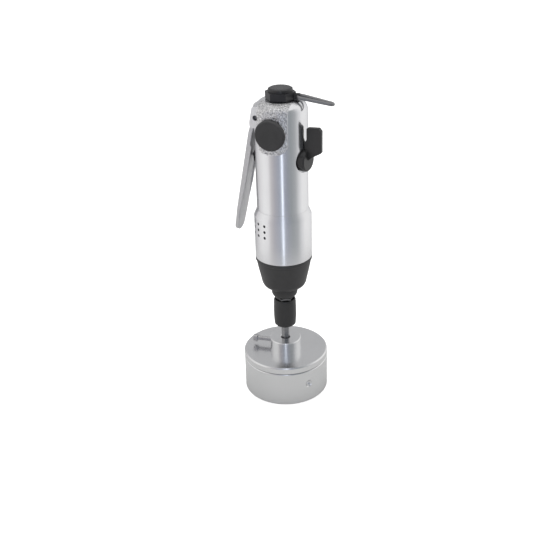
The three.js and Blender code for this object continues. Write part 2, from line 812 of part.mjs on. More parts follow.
function handle() {
  const grip = turned(headProfile(GRIP_RADIUS, FLARE_TOP + GAP), FINE);
  const spigot = rod(SPIGOT_RADIUS, GEAR_TOP + 0.9, FLARE_TOP + 1, FINE);
  const inletBoss = rod(12.4, 8, INLET_FACE, MEDIUM, towardInlet);
  const body = join(grip, spigot, inletPad(), inletBoss, ears());

  const motorBore = rod(MOTOR_BORE, 140, 204, FINE);
  const exhaustGroove = tube(19.7, 25, 154.5, 171.5, FINE);
  const exhaustSlots = [162, 166].map((z) => block(-22, -16, -5, 1, z, z + 2));
  const topPort = join(
    rod(5, INLET_HEIGHT, 260, COARSE),
    rod(8.2, 257.5, 280, MEDIUM),
    rod(10.6, HEAD_TOP - 1.6, 280, MEDIUM),
  );
  const inlet = rod(INLET_BORE, -5, 30, COARSE, towardInlet);
  const inletSeat = rod(13.2, INLET_FACE, 30, MEDIUM, towardInlet);
  const throttleBore = rod(5.5, -4, 30, 16, towardLever);
  const throttleSeat = rod(7.2, 22, 30, 16, towardLever);
  const reverseBore = rod(6.5, 5.5, 30, 16, towardKnob);
  const knobSeat = rod(10.4, 17.3, 30, MEDIUM, towardKnob);
  const crossWay = rod(2, -6, 6, 10, towardKnob);
  const leverChannel = block(-40, -17.1, -7.4, 7.4, 231, 280);
  const lugSlot = block(-22, -11.4, -3.4, 3.4, PIN_Z - 6.5, PIN_Z + 6.5);
  const pinBore = rod(2.2, -25, 25, COARSE, facing(new THREE.Vector3(0, -1, 0)));
  return cut(
    body,
    motorBore,
    exhaustGroove,
    ...exhaustSlots,
    topPort,
    inlet,
    inletSeat,
    throttleBore,
    throttleSeat,
    reverseBore,
    knobSeat,
    crossWay,
    ...valveDrillings(),
    leverChannel,
    lugSlot,
    pinBore.translate([PIN_X, 0, PIN_Z]),
  );
}

const gripAssembly = assembly();
place(gripAssembly, "lower_housing", lowerHousing(), aluminium());
place(gripAssembly, "handle", handle(), aluminium());

// ---------------------------------------------------------------- air inlet
function inletScreen() {
  const cup = turned(
    [
      [0, 2],
      [5.8, 2],
      [5.8, 11.5],
      [5.1, 11.5],
      [5.1, 2.8],
      [0, 2.8],
    ],
    COARSE,
  );
  const holes = Array.from({ length: 6 }, (_, i) =>
    rod(0.8, 0, 5, 6).translate([3, 0, 0]).rotate([0, 0, 60 * i]),
  );
  return cut(cup, ...holes, rod(0.8, 0, 5, 6));
}

function inletDustCap() {
  const base = INLET_FACE + GAP;
  return turned(
    [
      [0, 16],
      [5.4, 16],
      [5.8, 16.5],
      [5.8, base],
      [12.7, base],
      [12.7, base + 2.4],
      [12.3, base + 3.2],
      [11.4, base + 3.6],
      [0, base + 3.6],
    ],
    FINE,
  );
}

const inletAssembly = assembly(towardInlet);
place(inletAssembly, "inlet_screen", inletScreen(), springSteel());
place(inletAssembly, "inlet_dust_cap", inletDustCap(), rubber());

// ---------------------------------------------------------------- throttle
function throttleBush() {
  const body = turned(
    [
      [2.3, 8],
      [5.2, 8],
      [5.2, 22.1],
      [6.8, 22.1],
      [6.8, 22.4],
      [6.5, 22.7],
      [2.3, 22.7],
    ],
    16,
  );
  const port = rod(1.8, -8, 8, 10, facing(new THREE.Vector3(1, 0, 0), new THREE.Vector3(0, 0, 14)));
  return cut(body, port);
}

function throttleStem() {
  return turned(
    [
      [0, 4.6],
      [4.3, 4.6],
      [4.3, 6.2],
      [1.9, 6.2],
      [1.9, 25.2],
      [1.2, 26.1],
      [0, 26.1],
    ],
    COARSE,
  );
}

const throttle = assembly(towardLever);
place(throttle, "throttle_bush", throttleBush(), blackMetal());
place(throttle, "throttle_stem", throttleStem(), steel());
place(throttle, "throttle_seal", tube(2.2, 4.2, 6.5, 7.7, COARSE), rubber());
place(throttle, "throttle_spring", coil(3.2, 0.45, -3.7, 4.3, 4), springSteel());

// The lever's own frame: local Z up the bar, local X outward, the pin at the origin.
function leverBar() {
  const plan = new THREE.Shape();
  plan.moveTo(LEVER_TIP, -LEVER_BELOW + LEVER_TIP);
  plan.lineTo(LEVER_HALF, -88);
  plan.lineTo(LEVER_HALF, -18);
  plan.lineTo(LEVER_NECK, -12);
  plan.lineTo(LEVER_NECK, LEVER_ABOVE - 2);
  plan.quadraticCurveTo(LEVER_NECK, LEVER_ABOVE, LEVER_NECK - 2, LEVER_ABOVE);
  plan.lineTo(-LEVER_NECK + 2, LEVER_ABOVE);
  plan.quadraticCurveTo(-LEVER_NECK, LEVER_ABOVE, -LEVER_NECK, LEVER_ABOVE - 2);
  plan.lineTo(-LEVER_NECK, -12);
  plan.lineTo(-LEVER_HALF, -18);
  plan.lineTo(-LEVER_HALF, -88);
  plan.lineTo(-LEVER_TIP, -LEVER_BELOW + LEVER_TIP);
  plan.absarc(0, -LEVER_BELOW + LEVER_TIP, LEVER_TIP, Math.PI, 2 * Math.PI);
  const bevel = 0.8;
  const bar = new THREE.ExtrudeGeometry(plan, {
    depth: LEVER_OUTER - LEVER_INNER - 2 * bevel,
    bevelEnabled: true,
    bevelThickness: bevel,
    bevelSize: bevel,
    bevelOffset: -bevel,
    bevelSegments: 2,
    curveSegments: 8,
  });
  bar.translate(0, 0, LEVER_INNER + bevel);
  // plan x to local Y, plan y to local Z, thickness to local X
  const stand = new THREE.Matrix4().makeBasis(
    new THREE.Vector3(0, 1, 0),
    new THREE.Vector3(0, 0, 1),
    new THREE.Vector3(1, 0, 0),
  );
  return solid(bar, stand);
}

// A rib along one edge of the bar's inner face; it fades out toward the lever's end.
function leverRib(bottom, top) {
  const side = new THREE.Shape();
  side.moveTo(LEVER_INNER + 0.9, -96);
  side.lineTo(LEVER_INNER + 0.9, -26);
  side.lineTo(LEVER_INNER - 1.2, -30);
  side.lineTo(LEVER_INNER - 0.7, -66);
  const upright = new THREE.Matrix4().makeRotationX(Math.PI / 2);
  return raised(side, bottom, top, 4, upright);
}

function leverLug() {
  const side = new THREE.Shape();
  side.absarc(0, 0, 3.2, Math.PI / 2, (3 * Math.PI) / 2);
  side.lineTo(LEVER_INNER + 1, -4.6);
  side.lineTo(LEVER_INNER + 1, 4.6);
  const upright = new THREE.Matrix4().makeRotationX(Math.PI / 2);
  const lug = raised(side, -3, 3, 10, upright);
  return cut(lug, rod(2.25, -5, 5, COARSE, facing(new THREE.Vector3(0, -1, 0))));
}

const leverPlace = new THREE.Matrix4()
  .makeTranslation(PIN_X, 0, PIN_Z)
  .multiply(new THREE.Matrix4().makeRotationZ(Math.PI))
  .multiply(new THREE.Matrix4().makeRotationY(-LEVER_TILT));
const lever = assembly(leverPlace);
const ribs = [leverRib(-LEVER_HALF, -7.1), leverRib(7.1, LEVER_HALF)];
place(lever, "throttle_lever", join(leverBar(), leverLug(), ...ribs), aluminium());
const leverPin = assembly(new THREE.Matrix4().makeTranslation(PIN_X, 0, PIN_Z));
const pinShape = rod(1.9, -15.5, 15.5, COARSE, facing(new THREE.Vector3(0, -1, 0)));
place(leverPin, "lever_pin", pinShape, steel());

// ---------------------------------------------------------------- reversing valve
const KNOB_RADIUS = 9.2;
const KNOB_BACK = 17.6;
const KNOB_FACE = 25.8;
const PADDLE_ROOT = 22.6;
const PADDLE_BACK = 24.4;
const PADDLE_REACH = 37.6;
const PADDLE_TOP = 29;
const SCREW_PLACE = 20.4;

// The knob's own frame: local Z outward; the machine's up is given by knobUp.
const knobUp = new THREE.Vector3(0, 0, 1).applyQuaternion(
  new THREE.Quaternion().setFromRotationMatrix(towardKnob).invert(),
);

function knobPaddle() {
  const side = new THREE.Shape();
  side.moveTo(PADDLE_ROOT, -1);
  side.lineTo(KNOB_FACE + 0.5, 0.9);
  side.lineTo(KNOB_FACE + 4.2, 3.8);
  side.lineTo(PADDLE_REACH, 8.2);
  side.lineTo(PADDLE_REACH, PADDLE_TOP - 2.4);
  side.lineTo(PADDLE_REACH - 2.2, PADDLE_TOP);
  side.lineTo(PADDLE_BACK + 1.1, PADDLE_TOP - 0.9);
  side.lineTo(PADDLE_BACK, PADDLE_TOP - 2);
  side.lineTo(PADDLE_BACK, 18);
  side.lineTo(PADDLE_ROOT, 15.5);
  // outline x to local Z, outline y to the machine's up
  const across = new THREE.Vector3().crossVectors(new THREE.Vector3(0, 0, 1), knobUp);
  const stand = new THREE.Matrix4().makeBasis(new THREE.Vector3(0, 0, 1), knobUp, across);
  return raised(side, -1.9, 1.9, 6, stand);
}

function reverseKnob() {
  const body = turned(
    [
      [0, 21.9],
      [3.3, 21.9],
      [3.3, KNOB_BACK],
      [KNOB_RADIUS, KNOB_BACK],
      [KNOB_RADIUS, KNOB_FACE - 0.9],
      [KNOB_RADIUS - 0.9, KNOB_FACE],
      [0, KNOB_FACE],
    ],
    MEDIUM,
  );
  const screwHole = rod(1.6, 2, 12, 10, facing(knobUp.clone().negate()));
  return join(cut(body, screwHole.translate([0, 0, SCREW_PLACE])), knobPaddle());
}

function reverseSpool() {
  const body = turned(
    [
      [0, 6],
      [6.2, 6],
      [6.2, 14.7],
      [5.1, 14.7],
      [5.1, 16],
      [6.2, 16],
      [6.2, 17.4],
      [3, 17.4],
      [3, 21.6],
      [0, 21.6],
    ],
    20,
  );
  const port = facing(new THREE.Vector3(0, 1, 0), new THREE.Vector3(0, 0, 10.5));
  return cut(body, rod(2, -8, 8, 10, port));
}

const reversing = assembly(towardKnob);
place(reversing, "reverse_knob", reverseKnob(), blackMetal());
place(reversing, "reverse_spool", reverseSpool(), brass());
place(reversing, "reverse_seal_ring", ringSeal(5.82, 0.42, 15.35), rubber());
const screwSeat = facing(knobUp.clone().negate(), new THREE.Vector3(0, 0, SCREW_PLACE));
const grubScrew = assembly(screwSeat, reversing);
place(grubScrew, "knob_grub_screw", rod(1.3, 3.3, 8.4, 10), steel());

// ---------------------------------------------------------------- hanger
const PLUG_TURN = -18;
const HEX_TOP = 278.1;
const DOME_RADIUS = 10;
const DOME_TOP = 281.2;
const LUG_HALF = 1.9;

function bailTurn() {
  return aboutZ(BAIL_ANGLE);
}

function hangerPlug() {
  const hex = raised(hexagon(PLUG_FLATS, PLUG_TURN), HEAD_TOP + GAP, HEX_TOP);
  const shank = rod(7.9, 258, HEAD_TOP + 1, MEDIUM);
  const dome = turned(
    [
      [0, HEX_TOP - 1],
      [DOME_RADIUS, HEX_TOP - 1],
      [DOME_RADIUS, DOME_TOP - 0.8],
      [DOME_RADIUS - 1.4, DOME_TOP - 0.1],
      [6, DOME_TOP],
      [0, DOME_TOP],
    ],
    MEDIUM,
  );
  const lugSide = new THREE.Shape();
  lugSide.moveTo(8, HEAD_TOP + 0.4);
  lugSide.lineTo(BAIL_PIVOT, HEAD_TOP + 0.4);
  lugSide.absarc(BAIL_PIVOT, BAIL_HEIGHT, 2.3, -Math.PI / 2, Math.PI / 2);
  lugSide.lineTo(8, BAIL_HEIGHT + 2.3);
  const upright = new THREE.Matrix4().makeRotationX(Math.PI / 2);
  const lug = raised(lugSide, -LUG_HALF, LUG_HALF, 8, bailTurn().multiply(upright));
  const hole = rod(1.6, -5, 5, 10, facing(new THREE.Vector3(0, 1, 0)));
  const holePlace = new THREE.Matrix4().makeTranslation(BAIL_PIVOT, 0, BAIL_HEIGHT);
  const placed = hole.transform(bailTurn().multiply(holePlace).elements);
  return cut(join(hex, shank, dome, lug), placed);
}

// The bail lies along local X with its pivot at the origin.
function hangingBail() {
  const reach = (BAIL_REACH - BAIL_PIVOT) / Math.cos(BAIL_DROOP) - BAIL_WIRE;
  const side = [
    [0, 0.6],
    [0, 2.2],
    [0.7, 3.5],
    [2.4, 3.95],
    [10, 3.4],
    [reach - 5, 2.1],
    [reach - 1.4, 1.7],
  ];
  const mirrored = side.map(([along, off]) => [along, -off]).reverse();
  const points = [...side, [reach, 0], ...mirrored];
  const path = new THREE.CatmullRomCurve3(
    points.map(([along, off]) => new THREE.Vector3(along, off, 0)),
    false,
    "centripetal",
  );
  return swept(path, BAIL_WIRE, 36, 6);
}

const hanger = assembly();
place(hanger, "hanger_plug", hangerPlug(), blackMetal());
place(hanger, "hanger_seal_ring", ringSeal(9.35, 0.75, HEAD_TOP - 0.7), rubber());
const bailPlace = bailTurn()
  .multiply(new THREE.Matrix4().makeTranslation(BAIL_PIVOT, 0, BAIL_HEIGHT))
  .multiply(new THREE.Matrix4().makeRotationY(BAIL_DROOP));
place(assembly(bailPlace, hanger), "hanging_bail", hangingBail(), springSteel());

export default machine;
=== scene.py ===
"""Looks of the hand-held capping machine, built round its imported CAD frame."""

import math

import bpy
from mathutils import Matrix, Vector


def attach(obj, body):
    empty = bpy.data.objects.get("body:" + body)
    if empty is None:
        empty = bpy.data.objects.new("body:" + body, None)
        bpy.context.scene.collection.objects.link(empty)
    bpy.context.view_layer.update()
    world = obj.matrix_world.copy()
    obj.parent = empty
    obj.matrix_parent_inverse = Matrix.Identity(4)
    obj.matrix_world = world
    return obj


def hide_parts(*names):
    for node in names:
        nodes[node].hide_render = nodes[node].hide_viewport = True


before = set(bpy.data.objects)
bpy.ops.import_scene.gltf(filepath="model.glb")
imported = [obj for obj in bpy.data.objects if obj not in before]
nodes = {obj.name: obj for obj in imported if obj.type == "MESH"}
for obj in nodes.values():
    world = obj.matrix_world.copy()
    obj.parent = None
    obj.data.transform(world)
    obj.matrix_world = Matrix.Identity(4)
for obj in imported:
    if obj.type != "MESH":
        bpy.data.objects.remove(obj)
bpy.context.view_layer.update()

MM = 0.001
SMOOTH, SMALL = 144, 64  # facets round a large turned piece, and round a bore or rod
SHARP = 32  # degrees between faces past which their edge stays sharp
RING_SPAN = 3.0  # most millimetres between the rings of a turned side
FILLET_SHARE = 0.49  # of a side that one fillet may take
ON_AXIS = 1e-6


# ------------------------------------------------------------------ mesh helpers
def made(name, points, faces, matrix=None, sharp=SHARP):
    """A mesh object from points in millimetres."""
    mesh = bpy.data.meshes.new(name)
    place = matrix or Matrix.Identity(4)
    mesh.from_pydata([(place @ Vector(p)) * MM for p in points], [], faces)
    if place.determinant() < 0:
        mesh.flip_normals()
    mesh.update()
    thing = bpy.data.objects.new(name, mesh)
    bpy.context.scene.collection.objects.link(thing)
    return shaded(thing, sharp)


def shaded(thing, sharp=SHARP):
    thing.data.shade_smooth()
    thing.data.set_sharp_from_angle(angle=math.radians(sharp))
    return thing


def evened(thing):
    """Large faces keep their own normals beside small ones."""
    even = thing.modifiers.new("even", "WEIGHTED_NORMAL")
    even.keep_sharp = True
    even.weight = 80
    return thing


def rounded(corners, steps=5):
    """2-D corners (x, y[, fillet radius]) as points, with the fillets drawn."""
    points = []
    for i, corner in enumerate(corners):
        here = Vector(corner[:2])
        size = corner[2] if len(corner) > 2 else 0
        if not size:
            points.append(here)
            continue
        before = Vector(corners[i - 1][:2]) - here
        after = Vector(corners[(i + 1) % len(corners)][:2]) - here
        half = before.angle(after) / 2
        longest = FILLET_SHARE * min(before.length, after.length)
        reach = min(size / math.tan(half), longest)
        radius = reach * math.tan(half)
        toward = (before.normalized() + after.normalized()).normalized()
        centre = here + toward * (radius / math.sin(half))
        start = here + before.normalized() * reach - centre
        end = here + after.normalized() * reach - centre
        sweep = start.angle(end)
        for k in range(steps + 1):
            share = k / steps
            mixed = start * math.sin((1 - share) * sweep) + end * math.sin(share * sweep)
            points.append(centre + mixed / math.sin(sweep))
    return points


def ringed(profile):
    """The profile with more points on its long steep parts, so that a hole shades only near it."""
    points = []
    for i, here in enumerate(profile):
        points.append(here)
        ahead = profile[(i + 1) % len(profile)]
        steep = abs(ahead.y - here.y) > abs(ahead.x - here.x)
        if steep and min(here.x, ahead.x) > ON_AXIS:
            pieces = math.ceil((ahead - here).length / RING_SPAN)
            points += [here.lerp(ahead, k / pieces) for k in range(1, pieces)]
    return points


def lathe(name, corners, facets=SMOOTH, matrix=None):
    """A profile of (radius, height[, fillet]) corners, counter-clockwise, turned about Z."""
    profile = ringed(rounded(corners))
    points, faces, rows = [], [], []
    for radius, height in profile:
        if radius < ON_AXIS:
            rows.append([len(points)])
            points.append((0, 0, height))
            continue
        rows.append(list(range(len(points), len(points) + facets)))
        for i in range(facets):
            turn = 2 * math.pi * i / facets
            points.append((radius * math.cos(turn), radius * math.sin(turn), height))
    pairs = list(zip(rows, rows[1:]))
    if len(rows[0]) > 1:
        pairs.append((rows[-1], rows[0]))
    for low, high in pairs:
        for i in range(facets):
            j = (i + 1) % facets
            if len(low) == 1 and len(high) == 1:
                break
            if len(low) == 1:
                faces.append((low[0], high[j], high[i]))
            elif len(high) == 1:
                faces.append((low[i], low[j], high[0]))
            else:
                faces.append((low[i], low[j], high[j], high[i]))
    return made(name, points, faces, matrix)


def rod(name, radius, low, high, facets=SMALL, matrix=None, edge=0.0):
    corners = [(0, low), (radius, low, edge), (radius, high, edge), (0, high)]
    return lathe(name, corners, facets, matrix)


def prism(name, corners, low, high, matrix=None, edge=0.0, steps=5, layers=3):
    """A flat outline, counter-clockwise, raised along Z, its two rims rounded inwards by edge."""
    outline = rounded(corners, steps)
    count = len(outline)
    levels = [(0.0, low), (0.0, high)]
    if edge:
        arc = [math.pi / 2 * k / layers for k in range(layers + 1)]
        foot = [(edge * (1 - math.sin(a)), low + edge * (1 - math.cos(a))) for a in arc]
        crown = [(inset, low + high - height) for inset, height in reversed(foot)]
        levels = foot + crown
    points = []
    for inset, height in levels:
        for i, here in enumerate(outline):
            before = (here - outline[i - 1]).normalized()
            after = (outline[(i + 1) % count] - here).normalized()
            normal = Vector((-(before.y + after.y), before.x + after.x)).normalized()
            spread = max(0.3, math.cos(before.angle(after, 0.0) / 2))  # a tight corner stays short
            spot = here + normal * (inset / spread)
            points.append((spot.x, spot.y, height))
    faces = [tuple(reversed(range(count)))]
    for level in range(len(levels) - 1):
        for i in range(count):
            j = (i + 1) % count
            a, b = level * count, (level + 1) * count
            faces.append((a + i, a + j, b + j, b + i))
    faces.append(tuple(range((len(levels) - 1) * count, len(levels) * count)))
    return made(name, points, faces, matrix)


def swept(name, path, radius, sides=20):
    """A round wire along a list of points; its ends are domed."""
    rings, points, faces = [], [], []
    last = len(path) - 1
    up = (path[1] - path[0]).normalized().orthogonal().normalized()
    for i, here in enumerate(path):
        ahead = (path[min(i + 1, last)] - path[max(i - 1, 0)]).normalized()
        up = (up - ahead * up.dot(ahead)).normalized()
        rings.append((here, ahead, up, ahead.cross(up)))

    def dome(ring, way):
        """The shrinking rings of an end, from the wire outwards."""
        here, ahead, high, side = ring
        lifts = [math.pi / 2 * k / 4 for k in (3, 2, 1)]
        return [(here + ahead * way * radius * math.cos(lift), high, side, radius * math.sin(lift))
                for lift in lifts]

    layers = [*reversed(dome(rings[0], -1)),
              *[(spot, high, side, radius) for spot, _, high, side in rings],
              *dome(rings[-1], 1)]
    for spot, high, side, size in layers:
        for s in range(sides):
            turn = 2 * math.pi * s / sides
            points.append(tuple(spot + (high * math.cos(turn) + side * math.sin(turn)) * size))
    for ring in range(len(layers) - 1):
        for s in range(sides):
            t = (s + 1) % sides
            a, b = ring * sides, (ring + 1) * sides
            faces.append((a + s, a + t, b + t, b + s))
    faces.append(tuple(reversed(range(sides))))
    faces.append(tuple(range((len(layers) - 1) * sides, len(layers) * sides)))
    return made(name, points, faces, sharp=60)


def combined(thing, others, operation):
    """thing with other solids added, cut away or kept in common."""
    for other in others:
        step = thing.modifiers.new("step", "BOOLEAN")
        step.object = other
        step.operation = operation
        step.solver = "EXACT"
    graph = bpy.context.evaluated_depsgraph_get()
    mesh = bpy.data.meshes.new_from_object(thing.evaluated_get(graph))
    thing.modifiers.clear()
    thing.data = mesh
    for other in others:
        bpy.data.objects.remove(other)
    return shaded(thing)


def cut(thing, *others):
    return combined(thing, others, "DIFFERENCE")


def joined(thing, *others):
    return combined(thing, others, "UNION")


def common(thing, other):
    return combined(thing, [other], "INTERSECT")


def facing(direction, origin=(0, 0, 0), turn=0.0):
    """Local +Z turned to point along direction, from origin, then turned about it by degrees."""
    aim = Vector(direction).to_track_quat("Z", "Y").to_matrix().to_4x4()
    return Matrix.Translation(Vector(origin)) @ aim @ Matrix.Rotation(math.radians(turn), 4, "Z")


def radial(degrees, height):
    angle = math.radians(degrees)
    return facing((math.cos(angle), math.sin(angle), 0), (0, 0, height))


def arc(radius, x, y, start, stop, step):
    """Points of a circle about (x, y), from start to stop in degrees."""
    turns = [math.radians(degrees) for degrees in range(start, stop + 1, step)]
    return [(x + radius * math.cos(turn), y + radius * math.sin(turn)) for turn in turns]


def hexagon(flats, turn=0.0, edge=0.0):
    corner = flats / math.sqrt(3)
    spots = [math.radians(turn + 30 + 60 * i) for i in range(6)]
    return [(corner * math.cos(a), corner * math.sin(a), edge) for a in spots]


# ------------------------------------------------------------------ materials
class Finish:
    """A Principled material and its node graph, in millimetres of the object's own space."""

    def __init__(self, name, color, metallic, roughness, specular=0.5):
        self.material = bpy.data.materials.new(name)
        self.material.use_nodes = True
        self.tree = self.material.node_tree
        self.shader = self.tree.nodes["Principled BSDF"]
        self.shader.inputs["Base Color"].default_value = (*color, 1)
        self.shader.inputs["Metallic"].default_value = metallic
        self.shader.inputs["Roughness"].default_value = roughness
        self.shader.inputs["Specular IOR Level"].default_value = specular
        self.spot = self.node("ShaderNodeTexCoord").outputs["Object"]
        self.normal = None

    def node(self, kind, **settings):
        made_node = self.tree.nodes.new(kind)
        for key, value in settings.items():
            setattr(made_node, key, value)
        return made_node

    def link(self, source, target):
        self.tree.links.new(source, target)

    def math(self, operation, a, b=0.0):
        step = self.node("ShaderNodeMath", operation=operation)
        for socket, value in zip(step.inputs, (a, b)):
            if isinstance(value, (int, float)):
                socket.default_value = value
            else:
                self.link(value, socket)
        return step.outputs[0]

    def stretched(self, x, y, z):
        """Object space scaled, in cells per millimetre."""
        scaled = self.node("ShaderNodeMapping")
        scaled.inputs["Scale"].default_value = (x / MM, y / MM, z / MM)
        self.link(self.spot, scaled.inputs["Vector"])
        return scaled.outputs[0]

    def lathe_lines(self, per_mm):
        """Space that changes only along the profile of a piece turned about Z: its tool marks."""
        parts = self.node("ShaderNodeSeparateXYZ")
        self.link(self.spot, parts.inputs[0])
        squares = [self.math("POWER", parts.outputs[axis], 2.0) for axis in "XY"]
        radius = self.math("SQRT", self.math("ADD", *squares))
        profile = self.node("ShaderNodeCombineXYZ")
        self.link(self.math("MULTIPLY", radius, per_mm / MM), profile.inputs["X"])
        self.link(self.math("MULTIPLY", parts.outputs["Z"], per_mm / MM), profile.inputs["Z"])
        return profile.outputs[0]

    def noise(self, vector, detail=3.0):
        cloud = self.node("ShaderNodeTexNoise")
        cloud.inputs["Scale"].default_value = 1.0
        cloud.inputs["Detail"].default_value = detail
        cloud.inputs["Roughness"].default_value = 0.55
        self.link(vector, cloud.inputs["Vector"])
        return cloud.outputs[0]

    def cells(self, vector):
        dents = self.node("ShaderNodeTexVoronoi", feature="F1")
        dents.inputs["Scale"].default_value = 1.0
        self.link(vector, dents.inputs["Vector"])
        return dents.outputs["Distance"]

    def ranged(self, value, low, high, start=0.3, end=0.7):
        span = self.node("ShaderNodeMapRange")
        limits = {"From Min": start, "From Max": end, "To Min": low, "To Max": high}
        for key, number in limits.items():
            span.inputs[key].default_value = number
        self.link(value, span.inputs["Value"])
        return span.outputs[0]

    def rough(self, value, low, high):
        self.link(self.ranged(value, low, high), self.shader.inputs["Roughness"])
        return self

    def tinted(self, value, first, second):
        mixed = self.node("ShaderNodeMix", data_type="RGBA")
        self.link(self.ranged(value, 0.0, 1.0), mixed.inputs["Factor"])
        mixed.inputs["A"].default_value = (*first, 1)
        mixed.inputs["B"].default_value = (*second, 1)
        self.link(mixed.outputs[2], self.shader.inputs["Base Color"])
        return self

    def soft_edges(self, radius_mm):
        edge = self.node("ShaderNodeBevel", samples=6)
        edge.inputs["Radius"].default_value = radius_mm * MM
        self.normal = edge.outputs[0]
        self.link(self.normal, self.shader.inputs["Normal"])
        return self

    def bumped(self, height, depth_mm):
        bump = self.node("ShaderNodeBump")
        bump.inputs["Strength"].default_value = 1.0
        bump.inputs["Distance"].default_value = depth_mm * MM
        self.link(height, bump.inputs["Height"])
        if self.normal:
            self.link(self.normal, bump.inputs["Normal"])
        self.normal = bump.outputs[0]
        self.link(self.normal, self.shader.inputs["Normal"])
        return self


MARKS = 2.5  # tool marks per millimetre


def turned_metal(name, color, roughness, spread, depth, edge=0.0):
    """Bright metal with fine tool marks round it and handling smears."""
    finish = Finish(name, color, 1.0, roughness)
    if edge:
        finish.soft_edges(edge)
    smear = finish.noise(finish.stretched(0.06, 0.06, 0.025), detail=4)
    finish.rough(smear, roughness - spread / 2, roughness + spread)
    paler = tuple(min(1.0, c * 1.05) for c in color)
    finish.tinted(finish.noise(finish.stretched(0.03, 0.03, 0.03)), color, paler)
    finish.bumped(finish.noise(finish.lathe_lines(MARKS), detail=2), depth)
    return finish.material


def plain_metal(name, color, roughness, grain=1.5, depth=0.002, edge=0.12):
    """Machined or drawn metal with an even fine grain."""
    finish = Finish(name, color, 1.0, roughness)
    finish.soft_edges(edge)
    cloud = finish.noise(finish.stretched(0.25, 0.25, 0.25), detail=4)
    finish.rough(cloud, roughness - 0.06, roughness + 0.1)
    finish.tinted(cloud, tuple(c * 0.88 for c in color), color)
    finish.bumped(finish.noise(finish.stretched(grain, grain, grain), detail=4), depth)
    return finish.material


def coated(name, color, roughness, grain=4.0, depth=0.004):
    """Anodising, plastic or rubber with a fine grain and slightly worn patches."""
    finish = Finish(name, color, 0.0, roughness)
    finish.soft_edges(0.15)
    cloud = finish.noise(finish.stretched(0.12, 0.12, 0.12), detail=4)
    finish.rough(cloud, roughness - 0.05, roughness + 0.08)
    finish.tinted(cloud, tuple(c * 0.8 for c in color), tuple(c * 1.15 for c in color))
    finish.bumped(finish.noise(finish.stretched(grain, grain, grain), detail=3), depth)
    return finish.material


def cast_patch(name):
    """Aluminium as cast in a hammered mould: shallow cells with bright facets between them."""
    finish = Finish(name, (0.78, 0.78, 0.79), 1.0, 0.34)
    cells = finish.cells(finish.stretched(0.7, 0.7, 0.7))
    fine = finish.noise(finish.stretched(0.85, 0.85, 0.85), detail=2)
    finish.rough(fine, 0.36, 0.5)
    finish.tinted(fine, (0.34, 0.34, 0.35), (1.0, 1.0, 1.0))
    finish.bumped(finish.math("ADD", cells, fine), 0.35)
    return finish.material


ALUMINIUM = (0.83, 0.835, 0.85)
grip_metal = turned_metal("grip_polish", ALUMINIUM, 0.16, 0.05, 0.0002, edge=0.25)
housing_metal = turned_metal("housing_polish", ALUMINIUM, 0.18, 0.05, 0.0002)
cast_metal = cast_patch("grip_cast")
# The ear's front face gets an almost white, rougher copy of the grip's aluminium; its whiteness is
# a painted highlight for the light that face catches.
ear_highlight_metal = plain_metal("ear_painted_highlight", (0.98, 0.98, 0.98), 0.6, 2.0, 0.003)
chuck_metal = turned_metal("chuck_turned", (0.8, 0.805, 0.81), 0.2, 0.06, 0.0008)
lever_metal = plain_metal("lever_satin", (0.74, 0.74, 0.745), 0.55, 2.0, 0.004, 0.2)
bright_steel = plain_metal("bright_steel", (0.56, 0.56, 0.57), 0.24)
shank_steel = plain_metal("shank_steel", (0.34, 0.34, 0.35), 0.3)
bail_steel = plain_metal("bail_steel", (0.32, 0.32, 0.325), 0.5, 3.0, 0.003)
dark_steel = plain_metal("dark_steel", (0.2, 0.2, 0.205), 0.34)
wire_steel = plain_metal("wire_steel", (0.4, 0.4, 0.405), 0.38, 3.0, 0.003)
motor_iron = plain_metal("motor_iron", (0.33, 0.33, 0.34), 0.42, 1.0, 0.006)
bronze = plain_metal("bronze", (0.58, 0.42, 0.2), 0.34)
black_metal = coated("black_anodised", (0.021, 0.021, 0.022), 0.36)
plug_black = coated("plug_black", (0.016, 0.016, 0.018), 0.3)
nose_black = coated("nose_black", (0.03, 0.03, 0.031), 0.42)
cap_black = coated("cap_rubber", (0.029, 0.029, 0.03), 0.5, 6.0, 0.006)
seal_black = coated("seal_rubber", (0.018, 0.018, 0.018), 0.6)
liner_white = coated("liner_rubber", (0.74, 0.7, 0.61), 0.6, 2.0, 0.01)
vane_resin = coated("vane_resin", (0.2, 0.1, 0.045), 0.5, 1.2, 0.02)


def dressed(thing, finish, body, slot, *stands_for):
    """Gives a rebuilt piece its material and body, and hides the CAD nodes it stands for."""
    if not thing.data.materials:
        thing.data.materials.append(finish)
    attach(thing, body)
    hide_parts(*stands_for)
    return thing


# Corners are (radius, height[, fillet]) for turned pieces and (across, up[, fillet]) for outlines,
# in millimetres.

# ------------------------------------------------------------------ capping chuck
CHUCK_RADIUS, CUP_BORE, CUP_SHELF, CUP_TOP = 38, 30.1, 24, 31.9
LID_TOP, BOSS_TOP, BOSS_RADIUS, SHANK_BORE = 38.6, 49.5, 14, 4
SCREW_ANGLES, SCREW_HEIGHT, SCREW_RADIUS, SCREW_END = (-35, 85, 205), 18.6, 2.5, 37.7
CLAMP_ANGLE, CLAMP_HEAD, CLAMP_END = 189, 26.3, 30.3
CLAMP = radial(CLAMP_ANGLE, 44.5)
SHANK_FLATS, SHANK_TOP = 6.35, 84.5

cup = lathe("turned_chuck_cup", [
    (CUP_BORE, 0, 0.4), (37.2, 0, 0.2), (CHUCK_RADIUS, 0.8, 0.3),
    (CHUCK_RADIUS, CUP_TOP - 0.6, 0.15), (37.4, CUP_TOP, 0.15), (33, CUP_TOP, 0.2),
    (33, CUP_SHELF, 0.1), (CUP_BORE, CUP_SHELF, 0.1)])
cut(cup, *[lathe("hole", [(0, 25), (2.6, 25), (2.6, 37.2), (3.8, 38.4), (0, 38.4)], 48,
                 radial(angle, SCREW_HEIGHT)) for angle in SCREW_ANGLES])
dressed(evened(cup), chuck_metal, "spindle", "chuck_aluminium", "chuck_cup")

